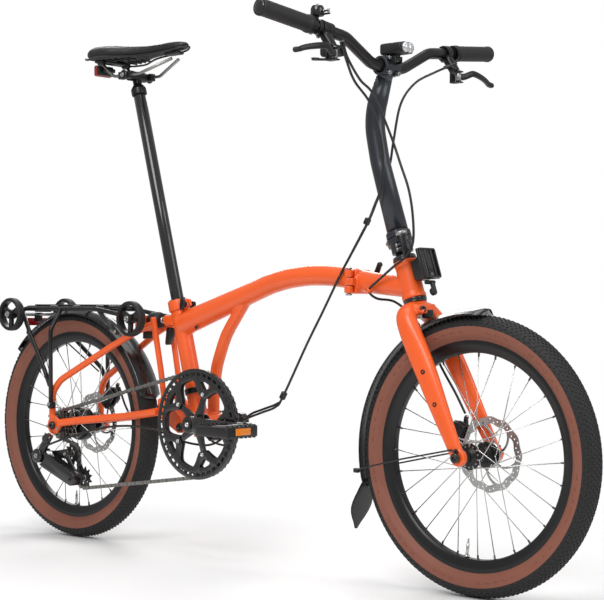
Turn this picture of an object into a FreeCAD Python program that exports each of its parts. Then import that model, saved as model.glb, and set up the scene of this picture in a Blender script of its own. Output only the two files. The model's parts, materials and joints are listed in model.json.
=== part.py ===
"""Folding bicycle: small wheels, a hinged main tube, a folding handlepost and a rear wheel that swings under.

Row frame: millimetres, +X forward, +Y to the rider's left, +Z up, origin on the ground between the wheels.
"""
import FreeCAD, Part
import Sketcher
import math
import os
import re
from types import SimpleNamespace
from FreeCAD import Placement, Rotation, Vector

os.makedirs("parts", exist_ok=True)
doc = FreeCAD.newDocument("folding_bicycle")

# Driving dimensions, millimetres and degrees
SIZES = {
    "wheelbase": 1111.2,
    "tyre_radius": 256,
    "tyre_width": 51,
    "rim_radius": 209.5,
    "rim_width": 27.2,
    "rim_depth": 23,
    "spoke_width": 2,
    "spoke_count": 28,
    "front_fork_gap": 100,
    "front_flange": 24,
    "rear_flange": 28,
    "rear_frame_gap": 135,
    "rotor_radius": 70,
    "rotor_thickness": 1.8,
    "bracket_x": -113.6,
    "bracket_height": 281,
    "bracket_width": 68,
    "crank_length": 165,
    "crank_plane": 76,
    "ring_teeth": 54,
    "ring_plane": 49,
    "guard_radius": 115,
    "chain_pitch": 12.7,
    "pedal_length": 95,
    "pedal_width": 92,
    "pedal_thickness": 28,
    "seat_angle": 74.5,
    "seat_line_x": -191.6,
    "seat_line_height": 394,
    "seat_tube_width": 37,
    "seat_tube_top": 536,
    "seatpost_width": 27.2,
    "seatpost_length": 590,
    "seatpost_top": 1000,
    "saddle_length": 275,
    "saddle_width": 144,
    "saddle_top": 1102,
    "head_angle": 72,
    "head_line_x": 410.4,
    "head_line_height": 540,
    "head_tube_width": 43,
    "head_tube_length": 75,
    "main_tube_width": 41,
    "strut_width": 25,
    "tube_wall": 2,
    "hinge_x": 274.4,
    "hinge_side": 30,
    "hinge_low": 550,
    "hinge_high": 596,
    "hinge_face": 1.2,
    "pivot_x": -190.6,
    "pivot_height": 269,
    "stay_width": 17,
    "stem_parting": 655,
    "stem_hinge_offset": 29,
    "post_width": 38,
    "bar_width": 22.2,
    "bar_span": 680,
    "bar_clamp_x": 340.4,
    "bar_clamp_height": 982,
    "bar_end_height": 1048,
    "grip_width": 31,
    "grip_length": 130,
    "roller_radius": 38,
    "roller_width": 22,
    "rack_height": 517,
    "running_gap": 0.05,
    "gap_small": 0.2,
}
sheet = doc.addObject("Spreadsheet::Sheet", "sizes")
for row, (name, value) in enumerate(SIZES.items(), 1):
    sheet.set(f"A{row}", name)
    sheet.set(f"B{row}", str(value))
    sheet.setAlias(f"B{row}", name)
doc.recompute()
D = SimpleNamespace(**{name: float(sheet.get(name)) for name in SIZES})

# Rotations that turn a shape drawn about its own Z axis, or in its own XY plane
ACROSS = Rotation(Vector(0, 0, 1), Vector(0, 1, 0))
UPRIGHT = Rotation(Vector(1, 0, 0), 90)
LEVEL = Rotation()
SIDES = {"right": -1, "left": 1}

parts = {}


# ---------------------------------------------------------------- modelling helpers
def with_sheet(expression):
    """An expression whose size names point at the sheet."""
    def link(found):
        return "sizes." + found.group() if found.group() in SIZES else found.group()
    return re.sub(r"[a-z]\w+", link, str(expression))


def keep(label, piece):
    """Record a finished sub-part under the name of its file."""
    piece.Label = label
    parts[label] = piece
    return piece


def sketch_on(body, role):
    """A sketch on one of the body's own origin planes."""
    plane = next(feature for feature in body.Origin.OriginFeatures if feature.Role == role)
    sketch = body.newObject("Sketcher::SketchObject", "outline")
    sketch.AttachmentSupport = [(plane, "")]
    sketch.MapMode = "FlatFace"
    return sketch


def draw(sketch, corners):
    """A closed outline; each corner is a pair of expressions measured from the sketch's origin."""
    count = len(corners)
    first = sketch.GeometryCount
    ring = [Vector(math.cos(2 * math.pi * i / count), math.sin(2 * math.pi * i / count),
                   0) for i in range(count)]
    for i in range(count):
        sketch.addGeometry(Part.LineSegment(ring[i], ring[(i + 1) % count]), False)
    for i in range(count):
        sketch.addConstraint(Sketcher.Constraint("Coincident", first + i, 2, first + (i + 1) % count, 1))
    for i, corner in enumerate(corners):
        for kind, expression in zip(("DistanceX", "DistanceY"), corner):
            number = sketch.addConstraint(Sketcher.Constraint(kind, -1, 1, first + i, 1, 1.0))
            sketch.setExpression(f"Constraints[{number}]", with_sheet(expression))


def turned(corners, at, rotation=ACROSS):
    """A turned piece: corners are (radius, height) pairs, spun about the piece's own axis."""
    body = doc.addObject("PartDesign::Body", "turned")
    sketch = sketch_on(body, "XZ_Plane")
    draw(sketch, corners)
    spin = body.newObject("PartDesign::Revolution", "spin")
    spin.Profile = sketch
    spin.ReferenceAxis = (sketch, ["V_Axis"])
    spin.Angle = 360
    body.Placement = Placement(Vector(*at), rotation)
    return body


def plate(corners, thickness, at, rotation=UPRIGHT, rounding=0):
    """A padded piece, as thick on each side of its outline; rounding softens every edge."""
    body = doc.addObject("PartDesign::Body", "plate")
    sketch = sketch_on(body, "XY_Plane")
    draw(sketch, corners)
    pad = body.newObject("PartDesign::Pad", "pad")
    pad.Profile = sketch
    pad.setExpression("Length", with_sheet(thickness))
    pad.Midplane = True
    if rounding:
        doc.recompute()
        fillet = body.newObject("PartDesign::Fillet", "rounding")
        fillet.Base = (pad, ["Edge1"])
        fillet.UseAllEdges = True
        fillet.Radius = rounding
    body.Placement = Placement(Vector(*at), rotation)
    return body


def primitive(kind, at, rotation=LEVEL, **sizes):
    """A Part primitive whose sizes are bound to the sheet."""
    piece = doc.addObject("Part::" + kind, kind.lower())
    for name, expression in sizes.items():
        piece.setExpression(name, with_sheet(expression))
    piece.Placement = Placement(Vector(*at), rotation)
    return piece


def block(size, at, rotation=LEVEL):
    """A box centred on a point."""
    names = ("Length", "Width", "Height")
    piece = primitive("Box", at, rotation, **dict(zip(names, size)))
    doc.recompute()
    half = Vector(piece.Length.Value, piece.Width.Value, piece.Height.Value) * 0.5
    piece.Placement = Placement(Vector(*at) - rotation.multVec(half), rotation)
    return piece


def rod(radius, length, at, rotation=ACROSS):
    """A cylinder centred on a point."""
    piece = primitive("Cylinder", at, rotation, Radius=radius, Height=length)
    doc.recompute()
    piece.Placement = Placement(Vector(*at) - rotation.multVec(Vector(0, 0, piece.Height.Value / 2)),
                                rotation)
    return piece


def fused(*pieces):
    piece = doc.addObject("Part::MultiFuse", "fused")
    piece.Shapes = list(pieces)
    return piece


def cut(base, tool):
    piece = doc.addObject("Part::Cut", "cut")
    piece.Base = base
    piece.Tool = tool
    return piece


def grouped(*pieces):
    """Separate solids that share one node."""
    piece = doc.addObject("Part::Compound", "grouped")
    piece.Links = list(pieces)
    return piece


def shaped(shape):
    """A feature whose shape is worked out from the sheet's values."""
    piece = doc.addObject("Part::Feature", "shaped")
    piece.Shape = shape
    return piece


def bent_path(points, bend):
    """A wire through the points, with each corner rounded to the bend radius."""
    points = [Vector(*point) for point in points]
    edges = []
    start = points[0]
    for before, corner, after in zip(points, points[1:], points[2:]):
        into = (corner - before).normalize()
        out = (after - corner).normalize()
        turn = into.getAngle(out)
        if turn < 1e-3:
            continue
        reach = min(bend * math.tan(turn / 2), 0.45 * (corner - before).Length,
                    0.45 * (after - corner).Length)
        entry = corner - into * reach
        leave = corner + out * reach
        inward = (out - into).normalize()
        radius = reach / math.tan(turn / 2)
        middle = corner + inward * (radius / math.cos(turn / 2) - radius)
        if (entry - start).Length > 1e-6:
            edges.append(Part.LineSegment(start, entry).toShape())
        edges.append(Part.Arc(entry, middle, leave).toShape())
        start = leave
    edges.append(Part.LineSegment(start, points[-1]).toShape())
    return Part.Wire(edges)


def pipe(points, radius, bend=30):
    """A round bar along a bent path."""
    path = bent_path(points, bend)
    start = Vector(*points[0])
    ahead = (Vector(*points[1]) - start).normalize()
    ring = Part.Wire(Part.makeCircle(radius, start, ahead))
    return path.makePipeShell([ring], True, True)


def bar(start, end, radius):
    """A straight round bar between two points."""
    start = Vector(*start)
    along = Vector(*end) - start
    return Part.makeCylinder(radius, along.Length, start, along)


def oval(centre, across, forward, half_width, half_depth):
    """An oval section for a loft."""
    points = []
    for i in range(12):
        turn = math.radians(30 * i)
        sideways = across * (half_width * math.cos(turn))
        points.append(Vector(*centre) + sideways + forward * (half_depth * math.sin(turn)))
    curve = Part.BSplineCurve()
    curve.interpolate(Points=points, PeriodicFlag=True)
    return Part.Wire(curve.toShape())


def merge(*shapes):
    """One solid from overlapping shapes, with its seams tidied where that leaves it valid."""
    whole = shapes[0].multiFuse(list(shapes[1:]))
    if not whole.isValid():
        whole = shapes[0]
        for shape in shapes[1:]:
            whole = whole.fuse(shape)
    tidy = whole.copy().removeSplitter()
    return tidy if tidy.isValid() else whole


def mirrored(corners):
    """The same corners on the other side of the outline's middle."""
    return [(radius, f"-({height})") for radius, height in corners]


def band(outside, inside):
    """A turned section like a tyre's: both lists run from the middle out to the edge."""
    return mirrored(outside)[::-1] + outside + inside[::-1] + mirrored(inside)


# ---------------------------------------------------------------- places worked out from the sizes
front_axle_at = Vector(D.wheelbase / 2, 0, D.tyre_radius)
rear_axle_at = Vector(-D.wheelbase / 2, 0, D.tyre_radius)
bracket_at = Vector(D.bracket_x, 0, D.bracket_height)
pivot_at = Vector(D.pivot_x, 0, D.pivot_height)
seat_up = Vector(-math.cos(math.radians(D.seat_angle)), 0, math.sin(math.radians(D.seat_angle)))
steer_up = Vector(-math.cos(math.radians(D.head_angle)), 0, math.sin(math.radians(D.head_angle)))
steer_forward = Vector(steer_up.z, 0, -steer_up.x)
leftward = Vector(0, 1, 0)


def on_seat_line(height):
    """The point of the seat tube's centre line at a height."""
    foot = Vector(D.seat_line_x, 0, D.seat_line_height)
    return foot + seat_up * ((height - D.seat_line_height) / seat_up.z)


def on_steer_line(height):
    """The point of the steering axis at a height."""
    foot = Vector(D.head_line_x, 0, D.head_line_height)
    return foot + steer_up * ((height - D.head_line_height) / steer_up.z)


SEAT = Rotation(Vector(0, 0, 1), seat_up)
STEER = Rotation(Vector(0, 0, 1), steer_up)


# ---------------------------------------------------------------- wheels
def tyre(hub_at):
    outside = [
        ("tyre_radius", "8"),
        ("tyre_radius-3", "17"),
        ("tyre_radius-11", "tyre_width/2-1.5"),
        ("tyre_radius-24", "tyre_width/2"),
        ("rim_radius+8", "tyre_width/2-3"),
        ("rim_radius+0.4", "rim_width/2+1"),
        ("rim_radius+0.3", "rim_width/2-1.8"),
        ("rim_radius-5.5", "rim_width/2-1.8"),
    ]
    inside = [
        ("tyre_radius-5", "8"),
        ("tyre_radius-8", "16"),
        ("tyre_radius-24", "tyre_width/2-3"),
        ("rim_radius+8", "tyre_width/2-7"),
        ("rim_radius+0.3", "rim_width/2-5"),
        ("rim_radius-5.5", "rim_width/2-5"),
    ]
    return turned(band(outside, inside), hub_at)


def rim(hub_at):
    hub_side = [
        ("rim_radius-rim_depth", "5"),
        ("rim_radius-rim_depth+3", "8"),
        ("rim_radius-8.5", "rim_width/2"),
        ("rim_radius", "rim_width/2"),
    ]
    tyre_side = [
        ("rim_radius-rim_depth+4", "4"),
        ("rim_radius-rim_depth+7", "6.5"),
        ("rim_radius-7", "rim_width/2-1.5"),
        ("rim_radius", "rim_width/2-1.5"),
    ]
    return turned(band(hub_side, tyre_side), hub_at)


def hub(hub_at, gap, flange):
    """A hub shell with two spoke flanges, bored for its axle; gap names the width between its dropouts."""
    return turned([
        ("6+running_gap", f"-({gap}/2-0.5)"),
        ("9", f"-({gap}/2-0.5)"),
        ("9", f"-({flange}+5)"),
        ("22", f"-({flange}+2)"),
        ("22", f"-({flange}-1)"),
        ("13", f"-({flange}-5)"),
        ("13", f"{flange}-5"),
        ("22", f"{flange}-1"),
        ("22", f"{flange}+2"),
        ("9", f"{flange}+5"),
        ("9", f"{gap}/2-0.5"),
        ("6+running_gap", f"{gap}/2-0.5"),
    ], hub_at)


def rotor(hub_at, plane):
    """A brake disc: friction ring, six curved-looking arms and a centre ring that clears the hub's end."""
    at = hub_at + Vector(0, plane, 0)
    ring = cut(rod("rotor_radius", "rotor_thickness", at), rod("rotor_radius-14", "rotor_thickness+2", at))
    centre = rod("24", "rotor_thickness", at)
    arms = []
    for i in range(6):
        turn = Rotation(Vector(0, 1, 0), 60 * i + 15)
        arms.append(block(("6", "rotor_thickness", "rotor_radius-30"), at + turn.multVec(Vector(9, 0, 38)),
                          turn))
    return cut(fused(ring, centre, *arms), rod("9+gap_small", "rotor_thickness+2", at))


def spokes(hub_at, flange, twist):
    """Crossed round spokes from both flanges to the rim, each kept just clear of hub and rim."""
    count = int(D.spoke_count)
    wires = []
    for i in range(count):
        side = 1 if i % 2 else -1
        angle = 2 * math.pi * i / count
        lean = twist if (i // 2) % 2 else -twist
        start = Vector(23.6 * math.cos(angle + lean), side * flange, 23.6 * math.sin(angle + lean))
        reach = D.rim_radius - D.rim_depth - 0.6
        end = Vector(reach * math.cos(angle), side * 2, reach * math.sin(angle))
        wires.append(bar(hub_at + start, hub_at + end, D.spoke_width / 2))
    return shaped(Part.makeCompound(wires))


for end, hub_at, gap, flange, plane in (
    ("front", front_axle_at, "front_fork_gap", "front_flange", D.front_fork_gap / 2 - 11),
    ("rear", rear_axle_at, "rear_frame_gap", "rear_flange", D.rear_frame_gap / 2 - 15),
):
    keep(end + "_tyre", tyre(hub_at))
    keep(end + "_rim", rim(hub_at))
    keep(end + "_hub", grouped(hub(hub_at, gap, flange), rotor(hub_at, plane)))
    keep(end + "_spokes", spokes(hub_at, float(sheet.get(flange)), 1.2))


# ---------------------------------------------------------------- rear main frame, the root
def tube(points, radius, bend):
    """The outer and inner bars of a hollow bent tube."""
    return pipe(points, radius, bend), pipe(points, radius - D.tube_wall, bend)


rear_tube_points = [
    (on_seat_line(487).x, 0, 487),
    (7.4, 0, 558.6),
    (45, 0, 571.5),
    (95, 0, 582),
    (150, 0, 587.2),
    (200, 0, 586.2),
    (242.9, 0, 581.7),
    (D.hinge_x - 11, 0, 577.8),
]
front_tube_points = [
    (D.hinge_x + 11, 0, 574.6),
    (316.4, 0, 570),
    (on_steer_line(562).x, 0, 563),
]


def barrel(low, high, radius=8.5):
    """A hinge knuckle on the main hinge's pin line."""
    return Part.makeCylinder(radius, high - low, Vector(D.hinge_x, -D.hinge_side, low))


def main_hinge_half(side):
    """A flange plate of the main hinge with its knuckles; side is -1 for the rear half, +1 for the front."""
    flange = Part.makeBox(10, 46, 46, Vector(D.hinge_x + (D.hinge_face if side > 0 else -10 - D.hinge_face),
                                             -20, 551))
    third = (D.hinge_high - D.hinge_low) / 3
    levels = [(1, 2)] if side > 0 else [(0, 1), (2, 3)]
    shapes = [flange]
    for low, high in levels:
        bottom = D.hinge_low + third * low + 0.3
        top = D.hinge_low + third * high - 0.3
        shapes.append(barrel(bottom, top))
        web_x = D.hinge_x + (D.hinge_face if side > 0 else -10 - D.hinge_face)
        shapes.append(Part.makeBox(10, 14, top - bottom, Vector(web_x, -32, bottom)))
    return shapes


def rear_main_frame():
    """Seat tube, arched main tube, curved strut, bracket shell, pivot barrel and half of the main hinge."""
    seat_radius = D.seat_tube_width / 2
    seat_bore = D.seatpost_width / 2 + D.running_gap
    seat_low = on_seat_line(252)
    seat_high = on_seat_line(D.seat_tube_top)
    main_out, main_in = tube(rear_tube_points, D.main_tube_width / 2, 300)
    strut_points = [(-120.6, 0, 290), (-120.6, 0, 345), (-112, 0, 400), (-85, 0, 465), (-20, 0, 548)]
    strut_out, strut_in = tube(strut_points, D.strut_width / 2, 150)
    shell = Part.makeCylinder(20, D.bracket_width, bracket_at - Vector(0, D.bracket_width / 2, 0), leftward)
    shell_bore_at = bracket_at - Vector(0, D.bracket_width / 2 + 1, 0)
    shell_bore = Part.makeCylinder(17, D.bracket_width + 2, shell_bore_at, leftward)
    pivot = Part.makeCylinder(12.5, 40, pivot_at - Vector(0, 20, 0), leftward)
    pivot_bore = Part.makeCylinder(6 + D.running_gap, 42, pivot_at - Vector(0, 21, 0), leftward)
    web = Part.makeBox(60, 30, 18, Vector(D.pivot_x + 5, -15, D.pivot_height))
    stop = Part.makeBox(26, 30, 24, Vector(on_seat_line(500).x - 42, -15, 482))
    outer = merge(
        bar(seat_low, seat_high, seat_radius), main_out, strut_out, shell, pivot, web, stop,
        *main_hinge_half(-1))
    pin_bore = Part.makeCylinder(4 + D.running_gap, 80, Vector(D.hinge_x, -D.hinge_side, D.hinge_low - 20))
    hollow = [main_in, strut_in, shell_bore, pivot_bore, pin_bore,
              bar(on_seat_line(240), on_seat_line(D.seat_tube_top + 10), seat_bore)]
    return shaped(outer.cut(hollow))


keep("rear_main_frame", rear_main_frame())


def hinge_pins():
    """The main hinge's pin and the rear pivot's axle with its two bolt heads."""
    pin = Part.makeCylinder(4, D.hinge_high - D.hinge_low + 8,
                            Vector(D.hinge_x, -D.hinge_side, D.hinge_low - 4))
    caps = [Part.makeCylinder(6.5, 3.5, Vector(D.hinge_x, -D.hinge_side, level))
            for level in (D.hinge_low - 4, D.hinge_high + 0.5)]
    axle = Part.makeCylinder(6, 60, pivot_at - Vector(0, 30, 0), leftward)
    heads = [Part.makeCylinder(9, 5, pivot_at + Vector(0, side, 0), leftward) for side in (-34.8, 29.8)]
    return shaped(Part.makeCompound([merge(pin, *caps), merge(axle, *heads)]))


def frame_fittings():
    """Bearing cups, the bottom block, the plug under the main tube and the seat tube's lower ring."""
    pieces = []
    for side in SIDES.values():
        cup = [("12+running_gap", "0"), ("16.9", "0"), ("16.9", "14"), ("20", "14"), ("20", "19"),
               ("12+running_gap", "19")]
        turn = Rotation(Vector(0, 0, 1), Vector(0, side, 0))
        pieces.append(turned(cup, bracket_at + Vector(0, side * (D.bracket_width / 2 - 13.9), 0), turn))
    pieces.append(block(("30", "24", "11"), (-108, 0, 253)))
    pieces.append(turned([("seat_tube_width/2+0.1", "-6"), ("seat_tube_width/2+2.5", "-6"),
                          ("seat_tube_width/2+2.5", "6"), ("seat_tube_width/2+0.1", "6")], on_seat_line(345),
                          SEAT))
    return grouped(*pieces, hinge_pins())


keep("frame_fittings", frame_fittings())


def seat_collar():
    """The split collar at the top of the seat tube."""
    ring = turned([("seat_tube_width/2+0.1", "-11"), ("seat_tube_width/2+4", "-11"),
                   ("seat_tube_width/2+4", "11"), ("seat_tube_width/2+0.1", "11")], on_seat_line(525), SEAT)
    ear = block(("14", "18", "14"), on_seat_line(525) + Vector(26, 0, 4), SEAT)
    bore = rod("seat_tube_width/2+0.1", "40", on_seat_line(525), SEAT)
    return cut(fused(ring, ear), bore)


keep("seat_collar", seat_collar())
collar_bolt_at = on_seat_line(525) + Vector(28, 0, 4)
keep("seat_lever", fused(
    rod("7", "9", collar_bolt_at + Vector(0, -14, 0)),
    plate([("-5", "-6"), ("6", "-6"), ("4", "40"), ("-3", "40")], "7", collar_bolt_at + Vector(0, -15, 0))))


main_lever_at = Vector(D.hinge_x + 1, 36, 573)
keep("main_hinge_lever", fused(
    block(("34", "8", "30"), main_lever_at + Vector(0, -4, 0)),
    rod("6", "14", main_lever_at + Vector(0, 6, 0)),
    plate([("-6", "-8"), ("7", "-8"), ("20", "34"), ("10", "36")], "7", main_lever_at + Vector(0, 9, 0))))


# ---------------------------------------------------------------- front main frame
def front_main_frame():
    """The short front tube, the head tube and the other half of the main hinge."""
    head_low = on_steer_line(D.head_line_height)
    head = bar(head_low, head_low + steer_up * D.head_tube_length, D.head_tube_width / 2)
    bore = bar(head_low - steer_up * 5, head_low + steer_up * (D.head_tube_length + 5),
               D.head_tube_width / 2 - 4)
    tube_out, tube_in = tube(front_tube_points, D.main_tube_width / 2, 200)
    pin_bore = Part.makeCylinder(4 + D.running_gap, 80, Vector(D.hinge_x, -D.hinge_side, D.hinge_low - 20))
    return shaped(merge(head, tube_out, *main_hinge_half(1)).cut([bore, tube_in, pin_bore]))


keep("front_main_frame", front_main_frame())


def headset_ring(height, low, high):
    """A bearing ring at one end of the head tube, clear of the steerer inside it."""
    return turned([("14.3+running_gap", low), ("head_tube_width/2+1", low), ("head_tube_width/2+1", high),
                   ("14.3+running_gap", high)], height, STEER)


head_low_at = on_steer_line(D.head_line_height)
head_high_at = head_low_at + steer_up * D.head_tube_length
keep("headset_rings", grouped(headset_ring(head_low_at, "-9", "-0.2"),
                              headset_ring(head_high_at, "0.2", "9")))

carrier_at = on_steer_line(585) + steer_forward * (D.head_tube_width / 2)
keep("carrier_block", fused(
    block(("26", "34", "40"), carrier_at + steer_forward * 13.3, STEER),
    block(("9", "50", "60"), carrier_at + steer_forward * 29 + steer_up * 6, STEER)))
carrier_lever_at = carrier_at + steer_forward * 22 - steer_up * 29
keep("carrier_lever", fused(
    rod("4", "26", carrier_lever_at),
    block(("10", "18", "20"), carrier_lever_at + Vector(8, 0, -10), STEER)))


# ---------------------------------------------------------------- fork, brake, mudguard and stem base
def fork():
    """Steerer, crown and two tapered blades with their dropouts, as one piece."""
    steerer = bar(head_low_at - steer_up * 12, on_steer_line(D.stem_parting) - steer_up * 22, 14.3)
    crown = bar(head_low_at - steer_up * 10, head_low_at - steer_up * 23, 19)
    shoulders = bar((422, -42, 514), (422, 42, 514), 16)
    blades = []
    down = Vector(0.4, 0, -0.92).normalize()
    deep = Vector(0.92, 0, 0.4).normalize()
    for side in SIDES.values():
        rows = [
            ((421, 42, 518), Vector(0, 1, 0), 12, 19),
            ((430, 46, 503), Vector(0, 1, 0), 13, 23),
            ((452, 48, 470), Vector(0, 1, 0), 12, 22),
            ((500, 52, 370), Vector(0, 1, 0), 11, 20),
            ((545, 57.5, 278), Vector(0, 1, 0), 7.5, 17),
            ((556, 58, 250), Vector(0, 1, 0), 7, 13),
        ]
        sections = []
        for centre, across, half_width, half_depth in rows:
            place = (centre[0], side * centre[1], centre[2])
            wide = Vector(across.x, side * across.y, across.z).normalize()
            sections.append(oval(place, wide, deep, half_width, half_depth))
        blades.append(Part.makeLoft(sections, True, False))
        blades.append(Part.makeCylinder(15, 12.6, Vector(front_axle_at.x, side * 56.5 - 6.3, front_axle_at.z),
                                        leftward))
    body = merge(steerer, crown, shoulders, *blades)
    bores = [Part.makeCylinder(6 + D.running_gap, 160, front_axle_at - Vector(0, 80, 0), leftward)]
    return shaped(body.cut(bores))


keep("fork", fork())


def axle(hub_at, half_length, head_width):
    """A through axle with a domed head at each end."""
    return turned([("0", f"-{half_length}-7"), (f"{head_width}-3", f"-{half_length}-7"),
                   (head_width, f"-{half_length}-4"), (head_width, f"-{half_length}"),
                   ("6", f"-{half_length}"),
                   ("6", half_length), (head_width, half_length), (head_width, f"{half_length}+4"),
                   (f"{head_width}-3", f"{half_length}+7"), ("0", f"{half_length}+7")], hub_at)


keep("front_axle", axle(front_axle_at, "66", "9"))


def mudguard(hub_at, radius, start, stop, half_width):
    """A rolled mudguard blade: a curved section swept round the wheel between two angles."""
    steps = 24
    outer, inner = [], []
    for i in range(7):
        across = math.radians(-75 + 25 * i)
        for edge, reach in ((outer, half_width), (inner, half_width - 1.6)):
            edge.append(Vector(radius - half_width * 0.75 + reach * 0.75 * math.cos(across), 0,
                               reach * math.sin(across)))
    points = outer + inner[::-1]
    face = Part.Face(Part.makePolygon(points + points[:1]))
    turn = Rotation(Vector(1, 0, 0), -90)
    face.Placement = Placement(Vector(), turn)
    face.rotate(Vector(), leftward, -start)
    swept = face.revolve(Vector(), leftward, -(stop - start))
    swept.translate(hub_at)
    return swept


def stay_wire(points):
    """A bent wire stay."""
    return pipe(points, 1.6, 12)


front_blade = mudguard(front_axle_at, 268, 86, 180, 29)
flap = Part.makeBox(4, 50, 118, Vector(283, -25, 118))
flap.rotate(Vector(285, 0, 236), leftward, 6)
stay_loop = stay_wire([(552, -67.4, 272), (430, -63, 262), (300, -34, 246), (285, -30, 243)])
stay_loop_left = stay_wire([(552, 67.4, 272), (430, 63, 262), (300, 34, 246), (285, 30, 243)])
keep("front_mudguard", shaped(Part.makeCompound([front_blade, stay_loop, stay_loop_left, flap])))

def caliper(at, turn, disc_at):
    """A disc brake caliper: a body slotted for the disc, with its piston cap and actuating arm."""
    body = block(("44", "26", "30"), at, turn)
    slot = rod("rotor_radius+1.5", "3.4", disc_at)
    cap = rod("11", "10", at + Vector(0, 16, 0))
    arm = plate([("-6", "-6"), ("6", "-6"), ("5", "30"), ("-3", "34")], "4", at + Vector(0, 22, 0))
    return cut(fused(body, cap, arm), slot)


front_disc_at = front_axle_at + Vector(0, D.front_fork_gap / 2 - 11, 0)
rear_disc_at = rear_axle_at + Vector(0, D.rear_frame_gap / 2 - 15, 0)
keep("front_caliper", caliper(front_disc_at + Vector(-72, 3, 33), Rotation(Vector(0, 1, 0), -70),
                              front_disc_at))
# Stem hinge frame: its local X runs towards the hinge pin, its local Z along the steering axis
stem_at = on_steer_line(D.stem_parting)
pin_way = (leftward - steer_forward).normalize()
pin_line = steer_up.cross(pin_way)
stem_frame = FreeCAD.Matrix()
stem_frame.A11, stem_frame.A21, stem_frame.A31 = pin_way
stem_frame.A12, stem_frame.A22, stem_frame.A32 = pin_line
stem_frame.A13, stem_frame.A23, stem_frame.A33 = steer_up
stem_placement = Placement(stem_at, Rotation(stem_frame))


def stem_half(side):
    """One half of the stem hinge in its local frame: a round flange with knuckles beside it."""
    low, high = (-12.4, -0.4) if side < 0 else (0.4, 12.4)
    flange = Part.makeCylinder(24, 12, Vector(0, 0, low))
    spans = [(-21, -8), (8, 21)] if side < 0 else [(-7.6, 7.6)]
    shapes = [flange]
    for start, stop in spans:
        shapes.append(Part.makeCylinder(6.5, stop - start, Vector(D.stem_hinge_offset, start, 0),
                                        Vector(0, 1, 0)))
        web_low = -12.4 if side < 0 else 0.4
        shapes.append(Part.makeBox(D.stem_hinge_offset - 10, stop - start, 12, Vector(10, start, web_low)))
    half = merge(*shapes)
    bore = Part.makeCylinder(3 + D.running_gap, 60, Vector(D.stem_hinge_offset, -30, 0), Vector(0, 1, 0))
    other = [(-7.9, 7.9)] if side < 0 else [(-30, -7.7), (7.7, 30)]
    relief = [Part.makeCylinder(7, stop - start, Vector(D.stem_hinge_offset, start, 0), Vector(0, 1, 0))
              for start, stop in other]
    return half.cut([bore, *relief])


def placed(shape, placement):
    moved = shape.copy()
    moved.Placement = placement.multiply(moved.Placement)
    return moved


def stem_base():
    """The clamp that grips the steerer, ending in the lower half of the stem hinge."""
    sleeve = Part.makeCylinder(20, 22, Vector(0, 0, -30))
    body = merge(sleeve, stem_half(-1))
    bore = Part.makeCylinder(14.3 + D.running_gap, 26, Vector(0, 0, -34.4))
    pin = Part.makeCylinder(3, 46, Vector(D.stem_hinge_offset, -23, 0), Vector(0, 1, 0))
    return shaped(Part.makeCompound([placed(body.cut(bore), stem_placement), placed(pin, stem_placement)]))


keep("stem_base", stem_base())


# ---------------------------------------------------------------- handlepost and bars
bar_clamp_at = Vector(D.bar_clamp_x, 0, D.bar_clamp_height)


def handlepost():
    """The bent post with the upper half of the stem hinge at its foot."""
    foot = stem_at + steer_up * 6
    points = [foot, on_steer_line(800), Vector(308, 0, 885), bar_clamp_at - Vector(6, 0, 22)]
    outer = pipe(points, D.post_width / 2, 160)
    inner = pipe([foot + steer_up * 12] + points[1:], D.post_width / 2 - 2.5, 160)
    return shaped(merge(outer, placed(stem_half(1), stem_placement)).cut(inner))


keep("handlepost", handlepost())

keep("stem_lever", shaped(placed(merge(
    Part.makeBox(8, 22, 12, Vector(-36.5, -11, -6)),
    Part.makeBox(7, 14, 62, Vector(-43, -7, -50)),
    Part.makeCylinder(4.5, 20, Vector(-39.5, -10, 0), Vector(0, 1, 0))), stem_placement)))

bar_points = [
    (D.bar_clamp_x, 0, D.bar_clamp_height),
    (D.bar_clamp_x, 45, D.bar_clamp_height),
    (D.bar_clamp_x + 2, 125, D.bar_end_height - 26),
    (D.bar_clamp_x - 9, D.bar_span / 2, D.bar_end_height),
]


def handlebar():
    """The riser bar: two mirrored halves joined at the clamp."""
    halves = []
    for side in SIDES.values():
        points = [(x, side * y, z) for x, y, z in bar_points]
        halves.append(pipe(points, D.bar_width / 2, 60).cut(pipe(points, D.bar_width / 2 - 2, 60)))
    return shaped(merge(*halves))


keep("handlebar", handlebar())


def along_grip(distance):
    """A point of the left grip's line, measured in from the bar's end."""
    tip = Vector(*bar_points[3])
    return tip + (Vector(*bar_points[2]) - tip).normalize() * distance


def flipped(point, side):
    return Vector(point.x, side * point.y, point.z)


def on_bar(side):
    """The rotation that lays a turned piece along the bar's grip line on one side, pointing outward."""
    return Rotation(Vector(0, 0, 1), flipped(along_grip(0) - along_grip(50), side))


grips = []
for side in SIDES.values():
    grip = [("bar_width/2+0.1", "-grip_length"), ("grip_width/2+1.5", "-grip_length"),
            ("grip_width/2+1.5", "-grip_length+8"), ("grip_width/2-1", "-grip_length+9"),
            ("grip_width/2", "-6"), ("grip_width/2+1.5", "-4"), ("grip_width/2+1.5", "2"), ("8", "5"),
            ("0", "5"), ("0", "0.3"), ("bar_width/2+0.1", "0.3")]
    grips.append(turned(grip, flipped(along_grip(0), side), on_bar(side)))
keep("grips", grouped(*grips))


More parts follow.
